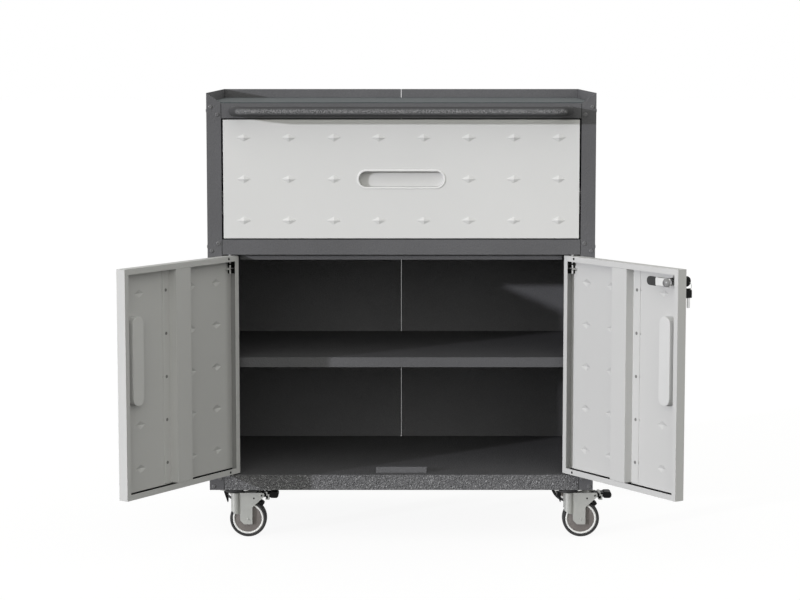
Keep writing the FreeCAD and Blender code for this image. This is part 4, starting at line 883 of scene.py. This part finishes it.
def make_lock_fittings():
    """The cam's bright face, the domed nut turned about the lock's axis, and the black rest beside
    the cam's nose: a round-nosed plate on a stem."""
    cam_half, cam_top, nose, rest_end = 7.4, CAM_PLANE + 2.9, 8.6, 280.0
    face = slab(rounded(281.6, 322.0, LOCK_LEVEL - cam_half, LOCK_LEVEL + cam_half, 2.0),
                CAM_PLANE - 0.1, cam_top)
    lay("lock_cam_face", at_door([face], 1), "lock_plug", CAM_ZINC, edge=0.5)
    dome = [(0, 7.6), (2.8, 7.3), (5.2, 6.4), (7.2, 4.9), (8.3, 3.1), (8.7, 1.6), (8.7, 0), (0, 0)]
    nut = facing(dome, LOCK_PLACE, CAM_PLANE + 2.7, LOCK_LEVEL, 40)
    lay("lock_cam_nut", at_door([nut], 1), "lock_plug", NUT_STEEL)
    outline = np.concatenate([arc((264.6, LOCK_LEVEL), (nose, nose), 90, 270, 16),
                              [(rest_end, LOCK_LEVEL - nose), (rest_end, LOCK_LEVEL + nose)]])
    rod = [(0, 0), (4.0, 0), (4.0, 23.0), (0, 23.0)]
    hoop = [(0, 0.2), (4.6, 0.2), (5.0, 0.7), (5.6, 0.7), (6.0, 0.0), (6.0, -0.5), (0, -0.5)]
    rest = [slab(outline, CAM_PLANE - 0.2, cam_top), facing(rod, 272.0, INNER_SKIN, LOCK_LEVEL),
            facing(hoop, 266.0, cam_top, LOCK_LEVEL)]
    lay("cam_rest", at_door(rest, 1), "right_door", REST_RUBBER_AND_SHADE, edge=0.6)


def key_slab(outline, half):
    """A flat piece of a key: an outline of (y, z) points carried to both sides of the lock."""
    return upright_slab(outline, LOCK_PLACE - half, LOCK_PLACE + half)


def make_keys():
    """Black bows of the key in the lock and of the hanging one, and their bright blades and wire
    ring: the ring is a circle carried round a circle."""
    bow_half, blade_half, blade = 2.0, 1.0, 3.2
    bow_y, eye_y, eye_z = SKIN - 20.0, SKIN - 26.0, LOCK_LEVEL - 18.2
    hanging = np.array([(-7.0, -9.0), (7.0, -9.0), (7.0, 2.0), (3.6, 5.6), (-3.6, 5.6),
                        (-7.0, 2.0)])
    bows = [key_slab(arc((bow_y, LOCK_LEVEL), (10.0, 10.0), 0, 345, 24), bow_half),
            key_slab(hanging * (1, 1.25) + (eye_y, eye_z - 2.4), bow_half)]
    blades = [key_slab(rounded(bow_y + 8.0, SKIN - 2.0, LOCK_LEVEL - blade, LOCK_LEVEL + blade,
                               0.8, 3), blade_half),
              key_slab(rounded(eye_y - blade, eye_y + blade, eye_z - 33.0, eye_z - 12.0, 2.6, 5),
                       blade_half)]
    wire = turned_along_y(arc((8.0, 0), (0.6, 0.6), 0, 330, 12), 48, True)
    blades.append(shifted(wire, (LOCK_PLACE, eye_y, LOCK_LEVEL - 9.1)))
    lay("key_bows", at_door(bows, 1), "lock_plug", BLACK_PLASTIC_AND_SHADE,
        ["lock_key", "spare_key"], edge=0.6)
    lay("key_blades_and_ring", at_door(blades, 1), "lock_plug", BRIGHT_STEEL,
        edge=0.2)


# Floor, light and camera

WHITE = (1, 1, 1, 1)
BACKDROP_RAYS = ("Is Camera Ray", "Is Glossy Ray", "Is Transmission Ray")
FLOOR_REACH, FLOOR_SHADE, FLOOR_GLOW = 40.0, 0.12, 0.912
SKY_EVEN, SKY_FRONT, SKY_POWER = 0.62, 1.25, 3.5
SKY_WAY, SKY_TINT = (-0.12, -0.988, 0.10), (1.0, 1.0, 0.955)
KEY_STRENGTH, KEY_SPREAD, KEY_TINT = 1.95, 1.2, (0.99, 0.99, 1.05)
KEY_PLACE, KEY_WAY = (-3, -2.4, 1.5), (0.7546, 0.6395, -0.1435)
CAMERA_PLACE, CAMERA_TIP = (-0.0026, -4.6672, 0.983), 6.348
CAMERA_LENS, CAMERA_SENSOR = 100.88, 36.0


def add_math(tree, operation, source, *values):
    """The result of a sum whose first number comes from another node and the rest are given."""
    return add_node(tree, "ShaderNodeMath", {0: source}, dict(enumerate(values, 1)),
                    operation=operation).outputs[0]


def seen_rays(tree):
    """One for the rays that should see the white backdrop, and nought for the rest."""
    path = add_node(tree, "ShaderNodeLightPath").outputs
    seen = path[BACKDROP_RAYS[0]]
    for ray in BACKDROP_RAYS[1:]:
        seen = add_node(tree, "ShaderNodeMath", {0: seen, 1: path[ray]},
                        operation="MAXIMUM").outputs[0]
    return seen


def make_floor():
    """A wide pale floor, white to the camera, that keeps the cabinet's shadow."""
    mesh = bpy.data.meshes.new("floor")
    corners = [(-1, -1), (1, -1), (1, 1), (-1, 1)]
    mesh.from_pydata([(x * FLOOR_REACH, y * FLOOR_REACH, 0) for x, y in corners], [],
                     [(0, 1, 2, 3)])
    floor = bpy.data.objects.new("floor", mesh)
    bpy.context.scene.collection.objects.link(floor)
    material = bpy.data.materials.new("pale_floor")
    material.use_nodes = True
    tree = material.node_tree
    tree.nodes.clear()
    shade = (FLOOR_SHADE, FLOOR_SHADE, FLOOR_SHADE, 1)
    diffuse = add_node(tree, "ShaderNodeBsdfDiffuse", values={"Color": shade})
    strength = add_math(tree, "MULTIPLY", seen_rays(tree), FLOOR_GLOW)
    glow = add_node(tree, "ShaderNodeEmission", {"Strength": strength}, {"Color": WHITE})
    both = add_node(tree, "ShaderNodeAddShader", {0: diffuse.outputs[0], 1: glow.outputs[0]})
    add_node(tree, "ShaderNodeOutputMaterial", {"Surface": both.outputs[0]})
    mesh.materials.append(material)


def make_sky():
    """White to the camera and in reflections. To the rest it is an even light, stronger towards the
    front by a power of the direction's share along a way ahead, a little up and to the left."""
    world = bpy.data.worlds.new("studio")
    bpy.context.scene.world = world
    world.use_nodes = True
    tree = world.node_tree
    tree.nodes.clear()
    way = add_node(tree, "ShaderNodeTexCoord").outputs["Generated"]
    share = add_node(tree, "ShaderNodeVectorMath", {0: way}, {1: SKY_WAY},
                     operation="DOT_PRODUCT").outputs["Value"]
    lobe = add_math(tree, "POWER", add_math(tree, "MAXIMUM", share, 0.0), SKY_POWER)
    light = add_math(tree, "MULTIPLY_ADD", lobe, SKY_FRONT, SKY_EVEN)
    lit = add_node(tree, "ShaderNodeBackground", {"Strength": light}, {"Color": (*SKY_TINT, 1)})
    seen = add_node(tree, "ShaderNodeBackground", values={"Color": WHITE})
    either = add_node(tree, "ShaderNodeMixShader",
                      {0: seen_rays(tree), 1: lit.outputs[0], 2: seen.outputs[0]})
    add_node(tree, "ShaderNodeOutputWorld", {"Surface": either.outputs[0]})


def make_key():
    """A far lamp, low on the left in front, whose rays run along one direction."""
    data = bpy.data.lights.new("key", "SUN")
    data.energy, data.color, data.angle = KEY_STRENGTH, KEY_TINT, math.radians(KEY_SPREAD)
    lamp = bpy.data.objects.new("key", data)
    lamp.location = KEY_PLACE
    lamp.rotation_euler = Vector(KEY_WAY).to_track_quat("-Z", "Y").to_euler()
    bpy.context.scene.collection.objects.link(lamp)


def make_camera():
    """A long lens at chest height in front of the cabinet, tipped down a little."""
    data = bpy.data.cameras.new("camera")
    data.sensor_width, data.lens = CAMERA_SENSOR, CAMERA_LENS
    camera = bpy.data.objects.new("camera", data)
    camera.location = CAMERA_PLACE
    camera.rotation_euler = (math.radians(90 - CAMERA_TIP), 0, 0)
    bpy.context.scene.collection.objects.link(camera)
    bpy.context.scene.camera = camera


dress_solids()
make_pulls()
make_push_handle()
make_screws()
make_castors()
make_seams()
make_hinge_cases()
make_hinge_bolts()
make_flange_rivets()
make_lock_fittings()
make_keys()
make_floor()
make_sky()
make_key()
make_camera()
bpy.context.scene.view_settings.view_transform = "Standard"
